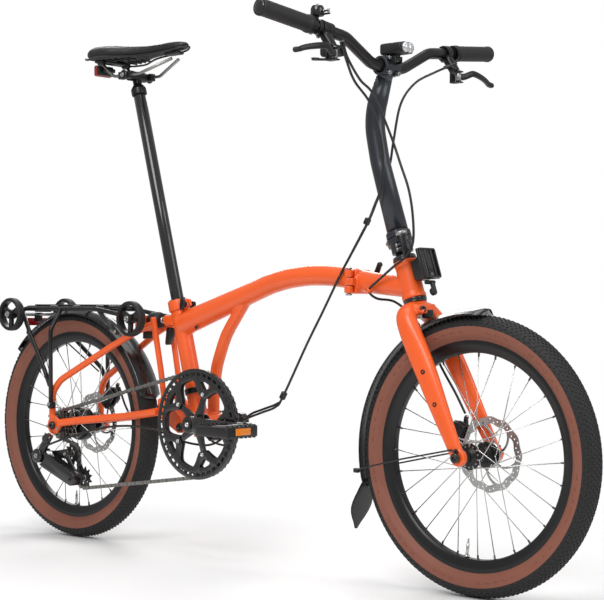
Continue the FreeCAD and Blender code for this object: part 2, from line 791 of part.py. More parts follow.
def bar_clamp():
    """The clamp at the post's top with its faceplate and the lamp's bracket arm."""
    body = Part.makeCylinder(19, 44, bar_clamp_at - Vector(0, 22, 0), leftward)
    neck = bar(bar_clamp_at - Vector(6, 0, 21.8), bar_clamp_at, 15)
    ears = [Part.makeBox(18, 4, 14, bar_clamp_at + Vector(12, y, 3)) for y in (-11.4, 7.4)]
    bridge = Part.makeBox(4, 22.8, 16, bar_clamp_at + Vector(12, -11.4, 0))
    bore = Part.makeCylinder(D.bar_width / 2 + 0.05, 80, bar_clamp_at - Vector(0, 40, 0), leftward)
    split = Part.makeBox(1.5, 60, 50, bar_clamp_at + Vector(12, -30, -50))
    return shaped(merge(body, neck, bridge, *ears).cut([bore, split]))


keep("bar_clamp", bar_clamp())

lamp_at = bar_clamp_at + Vector(26, 0, 31)
lamp_pivot_at = lamp_at + Vector(-2, 0, -19)
keep("headlight", grouped(
    fused(block(("52", "34", "22"), lamp_at + Vector(-4, 0, 0)),
          rod("6", "14", lamp_pivot_at),
          block(("10", "14", "10"), lamp_pivot_at + Vector(0, 0, 5))),
    block(("8", "30", "20"), lamp_at + Vector(26.2, 0, 0))))


def perch_at(side):
    return flipped(along_grip(D.grip_length + 26), side)


def perch(side):
    """A brake lever's clamp band and bracket, below and ahead of the bar."""
    at = perch_at(side)
    way = on_bar(side)
    band_ring = turned([("bar_width/2+0.1", "-7"), ("16", "-7"), ("16", "7"), ("bar_width/2+0.1", "7")], at,
                       way)
    bracket = block(("35", "18", "18"), at + Vector(16, 0, -25), Rotation(Vector(0, 1, 0), 57))
    bore = rod("bar_width/2+0.1", "60", at, way)
    return cut(fused(band_ring, bracket), bore)


for name, side in SIDES.items():
    pivot = perch_at(side) + Vector(32, side * 2, -49)
    keep("brake_lever_" + name, fused(
        rod("6", "16", pivot, LEVEL),
        plate([("-6", "-6"), ("8", "-6"), ("14", "30"), ("8", "100"), ("-2", "110"), ("-6", "106"),
               ("0", "40")],
              "8", pivot, Rotation(Vector(0, 0, 1), 0) if side > 0 else Rotation(Vector(1, 0, 0), 180))))

shifter_at = perch_at(-1) + Vector(2, 23, -44)
pod_ring_at = flipped(along_grip(D.grip_length + 40), -1)
shifter_pod = cut(
    fused(
        turned([("bar_width/2+0.1", "-6"), ("15.5", "-6"), ("15.5", "6"), ("bar_width/2+0.1", "6")],
               pod_ring_at, on_bar(-1)),
        block(("12", "12", "22"), shifter_at + Vector(-2, -6, 21)),
        block(("36", "26", "20"), shifter_at + Vector(2, 0, 4))),
    rod("bar_width/2+0.1", "60", pod_ring_at, on_bar(-1)))
keep("lever_mounts", grouped(*[perch(side) for side in SIDES.values()], shifter_pod))
keep("shifter_lever", fused(
    rod("7", "6", shifter_at + Vector(2, 0, -9.4), LEVEL),
    plate([("-5", "-6"), ("6", "-6"), ("6", "34"), ("-4", "38")], "4", shifter_at + Vector(0, 0, -9.4),
          Rotation(Vector(0, 0, 1), 150))))

bell_at = flipped(along_grip(D.grip_length + 13), -1)
bell_dome = [("0", "41"), ("7", "41"), ("12.5", "35"), ("12.5", "20"), ("10.5", "20"), ("10.5", "34"),
             ("6", "38.6"), ("0", "38.6")]
keep("bell", fused(
    turned([("bar_width/2+0.1", "-5"), ("14", "-5"), ("14", "5"), ("bar_width/2+0.1", "5")], bell_at,
           on_bar(-1)),
    rod("3", "27", bell_at + Vector(0, 0, 26.5), LEVEL),
    block(("30", "5", "3"), bell_at + Vector(16, 0, 21.5)),
    turned(bell_dome, bell_at, LEVEL)))
keep("bell_striker", fused(
    block(("16", "5", "3"), bell_at + Vector(22, 0, 27)),
    rod("2.5", "6", bell_at + Vector(27, 0, 27), LEVEL)))


# ---------------------------------------------------------------- seatpost and saddle
seatpost_top_at = on_seat_line(D.seatpost_top)


def seatpost():
    """The long hollow post that slides in the seat tube."""
    low = seatpost_top_at - seat_up * D.seatpost_length
    tip = seatpost_top_at
    return shaped(bar(low, tip, D.seatpost_width / 2).cut(
        bar(low - seat_up, tip - seat_up * 6, D.seatpost_width / 2 - 2.2)))


keep("seatpost", seatpost())
clamp_at = seatpost_top_at + seat_up * 30 + Vector(2, 0, 0)
saddle_clamp = fused(
    turned([("seatpost_width/2+0.1", "-12"), ("seatpost_width/2+3", "-12"), ("seatpost_width/2+3", "2"),
            ("9", "8"), ("9", "26"), ("0", "26"), ("0", "0.2"), ("seatpost_width/2+0.1", "0.2")],
           seatpost_top_at, SEAT),
    block(("42", "36", "16"), clamp_at), rod("11", "52", clamp_at))
saddle_rear_x = clamp_at.x - 118


def saddle_rails():
    """Two bent rails under the saddle, outside the clamp."""
    rails = []
    for side in SIDES.values():
        rails.append(pipe([
            (saddle_rear_x + 45, side * 34, clamp_at.z + 32),
            (clamp_at.x - 40, side * 32, clamp_at.z),
            (clamp_at.x + 42, side * 30, clamp_at.z),
            (clamp_at.x + 118, side * 10, clamp_at.z + 26)], 3.5, 20))
    return shaped(Part.makeCompound(rails))


keep("saddle_clamp", grouped(saddle_clamp, saddle_rails()))


def saddle():
    """A plain closed solid with the saddle's outline and thickness; its rails end just below it."""
    length = D.saddle_length
    wide = D.saddle_width / 2
    sections = []
    for share, half_width, thick, top in ((0, 0.6, 22, -4), (0.1, 0.9, 30, 0), (0.25, 1, 34, -4),
                                          (0.45, 0.62, 34, -8),
                                          (0.65, 0.33, 32, -8), (0.88, 0.26, 28, -6), (1, 0.18, 18, -10)):
        centre = Vector(saddle_rear_x + share * length, 0, D.saddle_top + top - thick / 2)
        sections.append(oval(centre, leftward, Vector(0, 0, 1), wide * half_width, thick / 2))
    return shaped(Part.makeLoft(sections, True, False))


keep("saddle", saddle())
keep("rear_light", fused(block(("20", "46", "26"), (saddle_rear_x + 8, 0, clamp_at.z + 22)),
                         block(("14", "30", "10"), (saddle_rear_x + 22, 0, clamp_at.z + 22))))


# ---------------------------------------------------------------- rear frame and its fittings
def rear_frame():
    """The swinging triangle: two chainstays, two seatstays, uprights, bridges, dropouts and pivot lugs."""
    stay = D.stay_width / 2
    drop = D.rear_frame_gap / 2 + 3.7
    shapes = []
    for side in SIDES.values():
        chainstay = pipe([(-538, side * drop, 262), (-480, side * 62, 270), (-350, side * 38.5, 284),
                          (-250, side * 37, 299)], stay, 60)
        seatstay = pipe([(-562, side * drop, 272), (-562, side * drop, 330), (-540, side * 66, 358),
                         (-400, side * 46, 432), (-330, side * 34, 467), (-280, side * 26, 486)], 7.5, 50)
        upright = pipe([(-280, side * 26, 500), (-270, side * 25, 450), (-256, side * 24.5, 385),
                        (-246, side * 25, 330), (-244, side * 26, 297)], 6.5, 120)
        plate_shape = Part.makeCylinder(21, 7.2, Vector(rear_axle_at.x, side * drop - 3.6, rear_axle_at.z),
                                        leftward)
        outline = [Vector(x, 0, z) for x, z in
                   ((-262, 286), (-262, 330), (-236, 330), (-180, 279), (-180, 258), (-200, 257))]
        lug = Part.Face(Part.makePolygon(outline + outline[:1])).extrude(Vector(0, side * 9, 0))
        lug.translate(Vector(0, side * 20.4, 0))
        shapes += [chainstay, seatstay, upright, plate_shape, lug]
    shapes.append(Part.makeBox(10, 76, 38, Vector(-323, -38, 468)))
    shapes.append(pipe([(-250, -25, 330), (-250, 25, 330)], 6))
    bores = [Part.makeCylinder(6 + D.running_gap, 80, pivot_at - Vector(0, 40, 0), leftward),
             Part.makeCylinder(6 + D.running_gap, 200, rear_axle_at - Vector(0, 100, 0), leftward),
             Part.makeCylinder(4.1, 60, Vector(-340, 0, 494), Vector(1, 0, 0))]
    return shaped(merge(*shapes).cut(bores))


keep("rear_frame", rear_frame())
keep("rear_axle", axle(rear_axle_at, "75.1", "9"))
keep("elastomer", turned([("0", "-12"), ("4", "-12"), ("4", "10.2"), ("17", "10.2"), ("18", "15"),
                          ("18", "36"),
                          ("14", "43"), ("6", "44"), ("6", "48"), ("0", "48")], (-323, 0, 494),
                         Rotation(Vector(0, 0, 1), Vector(1, 0, 0))))
latch_at = Vector(-254, 0, 472)
keep("rear_latch", grouped(fused(
    rod("5", "16", latch_at),
    plate([("-6", "4"), ("5", "5"), ("8", "-12"), ("-2", "-30"), ("-10", "-28")], "14", latch_at))))


def rack():
    """The luggage rack: a deck loop with cross rods, its legs and struts, and a rear reflector."""
    deck = D.rack_height
    shapes = []
    for side in SIDES.values():
        shapes.append(pipe([(-706, side * 57, 504), (-680, side * 57, deck), (-430, side * 57, deck),
                            (-291.6, side * 57, 497)], 5, 20))
        shapes.append(pipe([(-551, side * 57, deck), (-555, side * 84, 470), (-552, side * 84, 300)], 5, 30))
        shapes.append(pipe([(-690, side * 57, 512), (-655, side * 60, 455), (-575, side * 84, 380),
                            (-556, side * 84, 345)], 5, 30))
        shapes.append(pipe([(-424, side * 57, deck - 2), (-364, side * 54, 465)], 5))
        shapes.append(bar((-706, side * 50, 504), (-700.6, side * 60, 504), 6))
    for x in (-672, -595, -515, -436):
        shapes.append(bar((x, -56, deck + 4.5), (x, 56, deck + 4.5), 3.5))
    for side in SIDES.values():
        shapes.append(Part.makeBox(252, 8, 4, Vector(-680, side * 26 - 4, deck + 6.5)))
        shapes.append(bar((-291.6, side * 55, 497), (-291.6, side * 93, 497), 4))
    shapes.append(bar((-700.6, -93, 504), (-700.6, 93, 504), 4))
    frame = merge(*shapes)
    reflector = Part.makeBox(7, 70, 18, Vector(-712, -35, 478))
    reflector_arm = Part.makeBox(7, 20, 12, Vector(-706, -10, 496))
    return shaped(Part.makeCompound([merge(frame, reflector_arm), reflector]))


keep("rack", rack())
for name, x, z, side in (("rear_right", -700.6, 504, -1), ("rear_left", -700.6, 504, 1),
                         ("front_right", -291.6, 497, -1), ("front_left", -291.6, 497, 1)):
    keep("roller_" + name, turned([
        ("4+running_gap", "-9"), ("9", "-9"), ("9", "-3"), ("roller_radius-9", "-3"),
        ("roller_radius-8", "-9"),
        ("roller_radius-2", "-roller_width/2"), ("roller_radius", "-6"), ("roller_radius", "6"),
        ("roller_radius-2", "roller_width/2"), ("roller_radius-8", "9"), ("roller_radius-9", "3"), ("9", "3"),
        ("9", "9"), ("4+running_gap", "9")], (x, side * 80, z)))

keep("rear_mudguard", shaped(Part.makeCompound([
    mudguard(rear_axle_at, 263, 14, 130, 29),
    stay_wire([(-575, -76, 372), (-672, -50, 446), (-692, -33, 458)])])))
keep("rear_caliper", caliper(rear_disc_at + Vector(44, 3, 58), Rotation(Vector(0, 1, 0), -50), rear_disc_at))

# ---------------------------------------------------------------- drive
chain_y = -D.ring_plane
guide_at = rear_axle_at + Vector(39, chain_y, -62)
tension_at = rear_axle_at + Vector(79, chain_y, -114)


def pitch_radius(teeth):
    return D.chain_pitch / (2 * math.sin(math.pi / teeth))


def sprocket(teeth, thickness, bore):
    """A toothed ring as one solid: roots below the pitch circle, tips above it."""
    root = pitch_radius(teeth) - 4
    tip = pitch_radius(teeth) + 3.6
    points = []
    for i in range(teeth):
        for share, radius in ((0, root), (0.25, root + 1.2), (0.42, tip), (0.58, tip), (0.75, root + 1.2)):
            turn = 2 * math.pi * (i + share) / teeth
            points.append(Vector(radius * math.cos(turn), -thickness / 2, radius * math.sin(turn)))
    face = Part.Face(Part.makePolygon(points + points[:1]))
    disc = face.extrude(Vector(0, thickness, 0))
    return disc.cut(Part.makeCylinder(bore, thickness + 2, Vector(0, -thickness / 2 - 1, 0), leftward))


def moved(shape, at):
    shape.translate(at)
    return shape


RING_TEETH = int(D.ring_teeth)
COGS = ((18, -44), (15, -49), (13, -54), (11, -59))
CHAIN_COG = 15
PULLEY_TEETH = 11


def cassette():
    """Four cogs joined by a slotted carrier, running on the hub's end."""
    cogs = [moved(sprocket(teeth, 1.8, 14), rear_axle_at + Vector(0, y, 0)) for teeth, y in COGS]
    carrier = Part.makeCylinder(15, 20, rear_axle_at + Vector(0, -62.5, 0), leftward)
    body = merge(*cogs, carrier)
    return shaped(body.cut(Part.makeCylinder(9 + D.running_gap, 60, rear_axle_at + Vector(0, -80, 0),
                                             leftward)))


keep("cassette", cassette())


def spider():
    """Five crank arms of the spider that carry the chainring and the guard."""
    arms = []
    for i in range(5):
        turn = Rotation(Vector(0, 1, 0), 72 * i + 18)
        arm = Part.makeBox(18, 5, 74, Vector(-9, -2.5, 0))
        arm.Placement = Placement(bracket_at + Vector(0, -D.ring_plane - 4.6, 0), turn)
        arms.append(arm)
        arms.append(Part.makeCylinder(8, 5, bracket_at + Vector(0, -D.ring_plane - 7.1, 0)
                                      + turn.multVec(Vector(0, 0, 65)), leftward))
    return arms


def crank_arm(side):
    """A tapered arm with a round boss at each end."""
    way = 1 if side < 0 else -1
    plane = side * D.crank_plane
    face = [Vector(-4 * way, 0, 15), Vector(way * D.crank_length, 0, 12),
            Vector(way * D.crank_length, 0, -12),
            Vector(-4 * way, 0, -15)]
    arm = Part.Face(Part.makePolygon(face + face[:1])).extrude(Vector(0, 13, 0))
    arm.translate(bracket_at + Vector(0, plane - 6.5, 0))
    ends = [Part.makeCylinder(18, 20 if side < 0 else 16, bracket_at + Vector(0, plane - 8, 0),
                              leftward),
            Part.makeCylinder(13, 13, bracket_at + Vector(way * D.crank_length, plane - 6.5, 0), leftward)]
    return [arm, *ends]


def cranks():
    """Right crank with its spider and the bracket axle as one piece, and the left crank on the axle's end."""
    axle_shape = Part.makeCylinder(12, 2 * D.crank_plane - 20, bracket_at - Vector(0, D.crank_plane - 10, 0),
                                   leftward)
    spacer = Part.makeCylinder(17, 13, bracket_at + Vector(0, -D.ring_plane - 19, 0), leftward)
    right = merge(axle_shape, spacer, *spider(), *crank_arm(-1))
    left = merge(*crank_arm(1)).cut(Part.makeCylinder(12.05, 60, bracket_at + Vector(0, 20, 0), leftward))
    spindle_bores = []
    for side in SIDES.values():
        at = bracket_at + Vector(-side * D.crank_length, side * (D.crank_plane - 8), 0)
        spindle_bores.append(Part.makeCylinder(7.05, 20, at, Vector(0, side, 0)))
    return right.cut(spindle_bores), left.cut(spindle_bores)


def chainring():
    """The toothed ring: an outer rim with five tabs that bolt to the spider."""
    at = bracket_at + Vector(0, chain_y, 0)
    ring = sprocket(RING_TEETH, 2.2, pitch_radius(RING_TEETH) - 14)
    shapes = [ring]
    for i in range(5):
        turn = Rotation(Vector(0, 1, 0), 72 * i + 18)
        tab = Part.makeBox(20, 2.2, pitch_radius(RING_TEETH) - 10 - 58, Vector(-10, -1.1, 58))
        tab.Placement = Placement(Vector(), turn)
        shapes.append(tab)
    return shaped(moved(merge(*shapes), at))


guard_at = bracket_at + Vector(0, -D.ring_plane - 9, 0)
keep("chainring", grouped(chainring(), cut(rod("guard_radius", "3", guard_at),
                                           rod("guard_radius-15", "5", guard_at))))


def pedal(side):
    """A platform pedal bored for its spindle, with a reflector on each long edge."""
    way = 1 if side < 0 else -1
    at = bracket_at + Vector(way * D.crank_length, side * (D.crank_plane + 12 + D.pedal_length / 2), 0)
    body = fused(block(("pedal_width", "12", "pedal_thickness-6"), at + Vector(0, -D.pedal_length / 2 + 8,
                                                                               0)),
                 block(("pedal_width", "12", "pedal_thickness-6"), at + Vector(0, D.pedal_length / 2 - 8, 0)),
                 block(("12", "pedal_length-8", "pedal_thickness"), at + Vector(D.pedal_width / 2 - 8, 0, 0)),
                 block(("12", "pedal_length-8", "pedal_thickness"), at + Vector(-D.pedal_width / 2 + 8, 0,
                                                                                0)),
                 rod("12", "pedal_length-8", at))
    reflectors = [block(("4", "40", "14"), at + Vector(edge * (D.pedal_width / 2 + 0.2), 0,
                                                       0)) for edge in (-1, 1)]
    return grouped(cut(body, rod("6+running_gap", "pedal_length+20", at)), *reflectors)


def spindle(side):
    way = 1 if side < 0 else -1
    at = bracket_at + Vector(way * D.crank_length, side * (D.crank_plane - 6), 0)
    long = Part.makeCylinder(6, 14 + D.pedal_length, at + Vector(0, side * 2, 0), Vector(0, side, 0))
    thread = Part.makeCylinder(7, 12, at, Vector(0, side, 0))
    return merge(long, thread)


keep("pedal_right", pedal(-1))
keep("pedal_left", pedal(1))
keep("cranks", shaped(Part.makeCompound([*cranks(), spindle(-1), spindle(1)])))

keep("derailleur", fused(
    block(("44", "10", "20"), rear_axle_at + Vector(-24, -86, -52), Rotation(Vector(0, 1, 0), 35)),
    block(("14", "14", "42"), rear_axle_at + Vector(-12, -84, -36)),
    rod("12", "22", rear_axle_at + Vector(-32, -87, -69))))
cage_at = rear_axle_at + Vector(-32, 0, -69)
keep("derailleur_cage", shaped(merge(
    Part.makeCylinder(12, 8, cage_at + Vector(0, -73, 0), leftward),
    bar(cage_at + Vector(0, -68, 0), Vector(tension_at.x, -68, tension_at.z), 5),
    bar(Vector(guide_at.x, -68, guide_at.z), Vector(tension_at.x, -68, tension_at.z), 5),
    Part.makeCylinder(4, 26, Vector(tension_at.x, -71, tension_at.z), leftward),
    Part.makeCylinder(4, 26, Vector(guide_at.x, -71, guide_at.z), leftward))))
for name, at in (("guide_pulley", guide_at), ("tension_pulley", tension_at)):
    keep(name, shaped(moved(sprocket(PULLEY_TEETH, 1.8, 4 + D.running_gap), Vector(at))))


def belt(circles):
    """The straight and round stretches of a loop round circles (centre x, centre z, radius, way round)."""
    count = len(circles)
    spans = []
    for i in range(count):
        ax, az, ar, aw = circles[i]
        bx, bz, br, bw = circles[(i + 1) % count]
        reach = math.hypot(bx - ax, bz - az)
        line = math.atan2(bz - az, bx - ax)
        lean = math.acos((aw * ar - bw * br) / reach)
        turn = line + lean
        out = (ax + aw * ar * math.cos(turn), az + aw * ar * math.sin(turn))
        into = (bx + bw * br * math.cos(turn), bz + bw * br * math.sin(turn))
        spans.append((out, into))
    edges = []
    for i in range(count):
        out, into = spans[i]
        edges.append(Part.LineSegment(Vector(out[0], 0, out[1]), Vector(into[0], 0, into[1])).toShape())
        cx, cz, radius, way = circles[(i + 1) % count]
        after = spans[(i + 1) % count][0]
        first = math.atan2(into[1] - cz, into[0] - cx)
        last = math.atan2(after[1] - cz, after[0] - cx)
        sweep = (first - last) % (2 * math.pi) if way > 0 else -((last - first) % (2 * math.pi))
        middle = first - sweep / 2
        edges.append(Part.Arc(Vector(into[0], 0, into[1]),
                              Vector(cx + radius * math.cos(middle), 0, cz + radius * math.sin(middle)),
                              Vector(after[0], 0, after[1])).toShape())
    return Part.Wire(edges)


def chain():
    """The chain as its two rows of side plates, one each side of the teeth."""
    stops = ((bracket_at, pitch_radius(RING_TEETH), 1), (tension_at, pitch_radius(PULLEY_TEETH), 1),
             (guide_at, pitch_radius(PULLEY_TEETH), -1), (rear_axle_at, pitch_radius(CHAIN_COG), 1))
    outer = belt([(at.x, at.z, radius + 3.8 * way, way) for at, radius, way in stops])
    inner = belt([(at.x, at.z, radius - 3.8 * way, way) for at, radius, way in stops])
    face = Part.Face(outer).cut(Part.Face(inner))
    rows = []
    for low in (-2.9, 1.5):
        row = face.extrude(Vector(0, 1.4, 0))
        row.translate(Vector(0, chain_y + low, 0))
        rows.append(row)
    return shaped(Part.makeCompound(rows))


keep("chain", chain())


# ---------------------------------------------------------------- cables
def cables():
    """Brake and gear cables from the bars to the two calipers and the gear arm."""
    front_brake = [(366, -146, 980), (368, -110, 943), (376, -50, 880), (382, -40, 850), (380, -42, 720),
                   (420, -52, 640),
                   (470, -10, 634), (470, 46, 600), (470, 72, 520), (490, 76, 440), (488, 76, 380),
                   (484, 66, 340)]
    rear_brake = [(358, 140, 975), (338, 90, 950), (332, 54, 905), (338, 36, 860), (360, 40, 720),
                  (300, 54, 640), (180, 54, 560),
                  (40, 34, 400), (-40, 30, 240), (-110, 30, 216), (-200, 62, 232), (-300, 66, 262),
                  (-440, 88, 330)]
    gear = [(352, -120, 952), (354, -60, 898), (354, -36, 850), (356, -40, 720), (300, -64, 640),
            (240, -60, 600),
            (60, -34, 440), (-40, -26, 250), (-110, -24, 216), (-220, -34, 226), (-340, -70, 246),
            (-480, -88, 222)]
    return shaped(Part.makeCompound([pipe(points, 2.3, 60) for points in (front_brake, rear_brake, gear)]))


keep("cables", cables())


# ---------------------------------------------------------------- check and write
doc.recompute()
for item in doc.Objects:
    if "Invalid" in item.State or "Error" in item.State:
        raise SystemExit(f"{item.Label} failed: {item.State}")
for label, piece in parts.items():
    if piece.Shape.isNull() or not piece.Shape.isValid():
        raise SystemExit(f"{label} has no valid shape")
for label, piece in parts.items():
    piece.Shape.exportStep(f"parts/{label}.step")
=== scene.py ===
"""The looks of a folding bicycle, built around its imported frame. Metres, +X forward, +Y left, +Z up."""
import math
import json

import bmesh
import bpy
from mathutils import Matrix, Vector


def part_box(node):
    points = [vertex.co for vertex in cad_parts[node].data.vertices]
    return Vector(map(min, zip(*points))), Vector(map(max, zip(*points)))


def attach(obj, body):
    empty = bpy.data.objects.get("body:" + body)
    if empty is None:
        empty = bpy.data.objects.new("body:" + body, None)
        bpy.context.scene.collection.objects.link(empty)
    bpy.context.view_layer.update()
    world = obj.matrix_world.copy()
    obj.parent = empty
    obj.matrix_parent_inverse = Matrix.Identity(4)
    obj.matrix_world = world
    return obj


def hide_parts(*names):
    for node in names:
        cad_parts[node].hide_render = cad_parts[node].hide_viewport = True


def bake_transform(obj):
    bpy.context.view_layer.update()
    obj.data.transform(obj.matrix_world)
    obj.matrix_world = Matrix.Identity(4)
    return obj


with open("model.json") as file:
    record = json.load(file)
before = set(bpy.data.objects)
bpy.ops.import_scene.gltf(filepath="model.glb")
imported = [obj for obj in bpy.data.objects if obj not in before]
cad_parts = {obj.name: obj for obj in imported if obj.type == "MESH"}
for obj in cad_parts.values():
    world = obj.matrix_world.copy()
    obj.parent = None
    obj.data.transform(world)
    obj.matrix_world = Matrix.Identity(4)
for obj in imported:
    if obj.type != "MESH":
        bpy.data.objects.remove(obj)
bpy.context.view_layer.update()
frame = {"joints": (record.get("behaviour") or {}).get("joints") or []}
JOINTS = {joint["name"]: joint for joint in frame["joints"]}
MM = 0.001


def joint_at(name):
    return Vector(JOINTS[name]["pos_m"])


def span(node):
    low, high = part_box(node)
    return high - low


X, Y, Z = Vector((1, 0, 0)), Vector((0, 1, 0)), Vector((0, 0, 1))
FRONT_HUB = joint_at("front_wheel_spin")
REAR_HUB = joint_at("rear_wheel_spin")
BRACKET = joint_at("crank_spin")
PIVOT = joint_at("rear_fold")
STEER_UP = -Vector(JOINTS["steering"]["axis"]).normalized()
STEER_AT = joint_at("steering")
STEER_AHEAD = Vector((STEER_UP.z, 0, -STEER_UP.x))
SEAT_UP = Vector(JOINTS["seatpost_slide"]["axis"]).normalized()
TYRE_RADIUS = span("front_tyre").x / 2
HEAD_TOP = 75 * MM


def steer_line(height):
    """The point of the steering axis at a height."""
    return STEER_AT + STEER_UP * ((height - STEER_AT.z) / STEER_UP.z)


SEAT_FOOT = Vector((-0.1916, 0, 0.394))


def seat_line(height):
    """The point of the seat tube's centre line at a height."""
    return SEAT_FOOT + SEAT_UP * ((height - SEAT_FOOT.z) / SEAT_UP.z)


# ---------------------------------------------------------------- mesh building
def vec(point):
    return Vector(point) * MM


def wheel_way(turn):
    """A direction in the wheels' plane."""
    return Vector((math.cos(turn), 0, math.sin(turn)))


def turns(count, first=0.0):
    """Evenly spaced angles round a circle."""
    return [2 * math.pi * (i + first) / count for i in range(count)]


def circle(radius, count=144, centre=(0, 0)):
    """Points of a circle, as pairs."""
    return [(centre[0] + radius * math.cos(turn),
             centre[1] + radius * math.sin(turn)) for turn in turns(count)]


def polar(corners, turn):
    """Points given as (radius, degrees off a direction), as pairs."""
    return [(radius * math.cos(math.radians(turn + off)), radius * math.sin(math.radians(turn + off)))
            for radius, off in corners]


def between_rows(values, share):
    """A value from a row of evenly spaced ones."""
    spot = share * (len(values) - 1)
    i = min(int(spot), len(values) - 2)
    return values[i] * (1 - spot + i) + values[i + 1] * (spot - i)


def new_piece(name, verts, faces, material, smooth=True):
    """A mesh object from corner points and faces, with one material or a list to choose from per face."""
    mesh = bpy.data.meshes.new(name)
    mesh.from_pydata([tuple(v) for v in verts], [], faces)
    mesh.validate()
    mesh.update()
    for item in material if isinstance(material, (list, tuple)) else [material]:
        mesh.materials.append(item)
    mesh.polygons.foreach_set("use_smooth", [smooth] * len(mesh.polygons))
    piece = bpy.data.objects.new(name, mesh)
    bpy.context.scene.collection.objects.link(piece)
    return piece


def recalc(piece):
    """Face normals point out of the solid."""
    work = bmesh.new()
    work.from_mesh(piece.data)
    bmesh.ops.remove_doubles(work, verts=work.verts, dist=1e-6)
    bmesh.ops.recalc_face_normals(work, faces=work.faces)
    work.to_mesh(piece.data)
    work.free()
    return piece


def join(name, pieces):
    """Several pieces as one object that keeps each one's materials."""
    materials = []
    verts, faces, marks, smooth = [], [], [], []
    for piece in pieces:
        base = len(verts)
        slots = []
        for material in piece.data.materials:
            if material not in materials:
                materials.append(material)
            slots.append(materials.index(material))
        verts += [piece.matrix_world @ v.co for v in piece.data.vertices]
        for face in piece.data.polygons:
            faces.append([base + i for i in face.vertices])
            marks.append(slots[face.material_index] if slots else 0)
            smooth.append(face.use_smooth)
        old = piece.data
        bpy.data.objects.remove(piece)
        bpy.data.meshes.remove(old)
    mesh = bpy.data.meshes.new(name)
    mesh.from_pydata([tuple(v) for v in verts], [], faces)
    for material in materials:
        mesh.materials.append(material)
    mesh.polygons.foreach_set("material_index", marks)
    mesh.polygons.foreach_set("use_smooth", smooth)
    mesh.update()
    whole = bpy.data.objects.new(name, mesh)
    bpy.context.scene.collection.objects.link(whole)
    return whole


def frame_from(axis, towards=None):
    """Two directions square to an axis."""
    axis = axis.normalized()
    guess = towards or (Z if abs(axis.z) < 0.9 else X)
    side = (guess - axis * guess.dot(axis)).normalized()
    return side, axis.cross(side)


def lathe(name, profile, at, axis, material, turns=64, closed=True):
    """A turned piece: profile is (radius, height along the axis) in millimetres, round a point in metres."""
    axis = axis.normalized()
    side, other = frame_from(axis)
    verts, faces = [], []
    count = len(profile)
    for i in range(turns):
        angle = 2 * math.pi * i / turns
        way = side * math.cos(angle) + other * math.sin(angle)
        for radius, height in profile:
            verts.append(at + way * (radius * MM) + axis * (height * MM))
    for i in range(turns):
        after = (i + 1) % turns
        for j in range(count if closed else count - 1):
            k = (j + 1) % count
            faces.append((i * count + j, after * count + j, after * count + k, i * count + k))
    return recalc(new_piece(name, verts, faces, material))


def rounded_profile(profile, radius, steps=4):
    """The same outline with its corners rounded; radius in the outline's own units."""
    rounded = []
    count = len(profile)
    for i, corner in enumerate(profile):
        corner = Vector(corner)
        before, after = Vector(profile[i - 1]), Vector(profile[(i + 1) % count])
        into, out = corner - before, after - corner
        reach = min(radius, into.length * 0.45, out.length * 0.45)
        if reach < 1e-6 or into.angle(out, 0) < 0.05:
            rounded.append(tuple(corner))
            continue
        start, end = corner - into.normalized() * reach, corner + out.normalized() * reach
        for k in range(steps + 1):
            t = k / steps
            rounded.append(tuple(start * (1 - t) ** 2 + corner * (2 * t * (1 - t)) + end * t * t))
    return rounded


def bent(points, bend, step=9):
    """Path points, in metres, through millimetre corners rounded to a bend radius in millimetres."""
    points = [vec(point) for point in points]
    path = [points[0]]
    for before, corner, after in zip(points, points[1:], points[2:]):
        into, out = (corner - before).normalized(), (after - corner).normalized()
        turn = into.angle(out)
        if turn < 0.01:
            continue
        reach = min(bend * MM * math.tan(turn / 2), 0.45 * (corner - before).length,
                    0.45 * (after - corner).length)
        radius = reach / math.tan(turn / 2)
        inward = (out - into).normalized()
        centre = corner + inward * (radius / math.cos(turn / 2))
        start = corner - into * reach
        steps = max(2, int(math.degrees(turn) / step) + 1)
        arm = start - centre
        spin_axis = into.cross(out).normalized()
        for k in range(steps + 1):
            path.append(centre + Matrix.Rotation(turn * k / steps, 3, spin_axis) @ arm)
    path.append(points[-1])
    return path


def spline(points, per=6):
    """A smooth path, in metres, through millimetre points."""
    points = [vec(point) for point in points]
    path = []
    ends = [points[0] * 2 - points[1]] + points + [points[-1] * 2 - points[-2]]
    for i in range(1, len(ends) - 2):
        a, b, c, d = ends[i - 1:i + 3]
        for k in range(per):
            t = k / per
            path.append(0.5 * ((2 * b) + (c - a) * t + (2 * a - 5 * b + 4 * c - d) * t * t
                               + (3 * b - a - 3 * c + d) * t ** 3))
    path.append(points[-1])
    return path


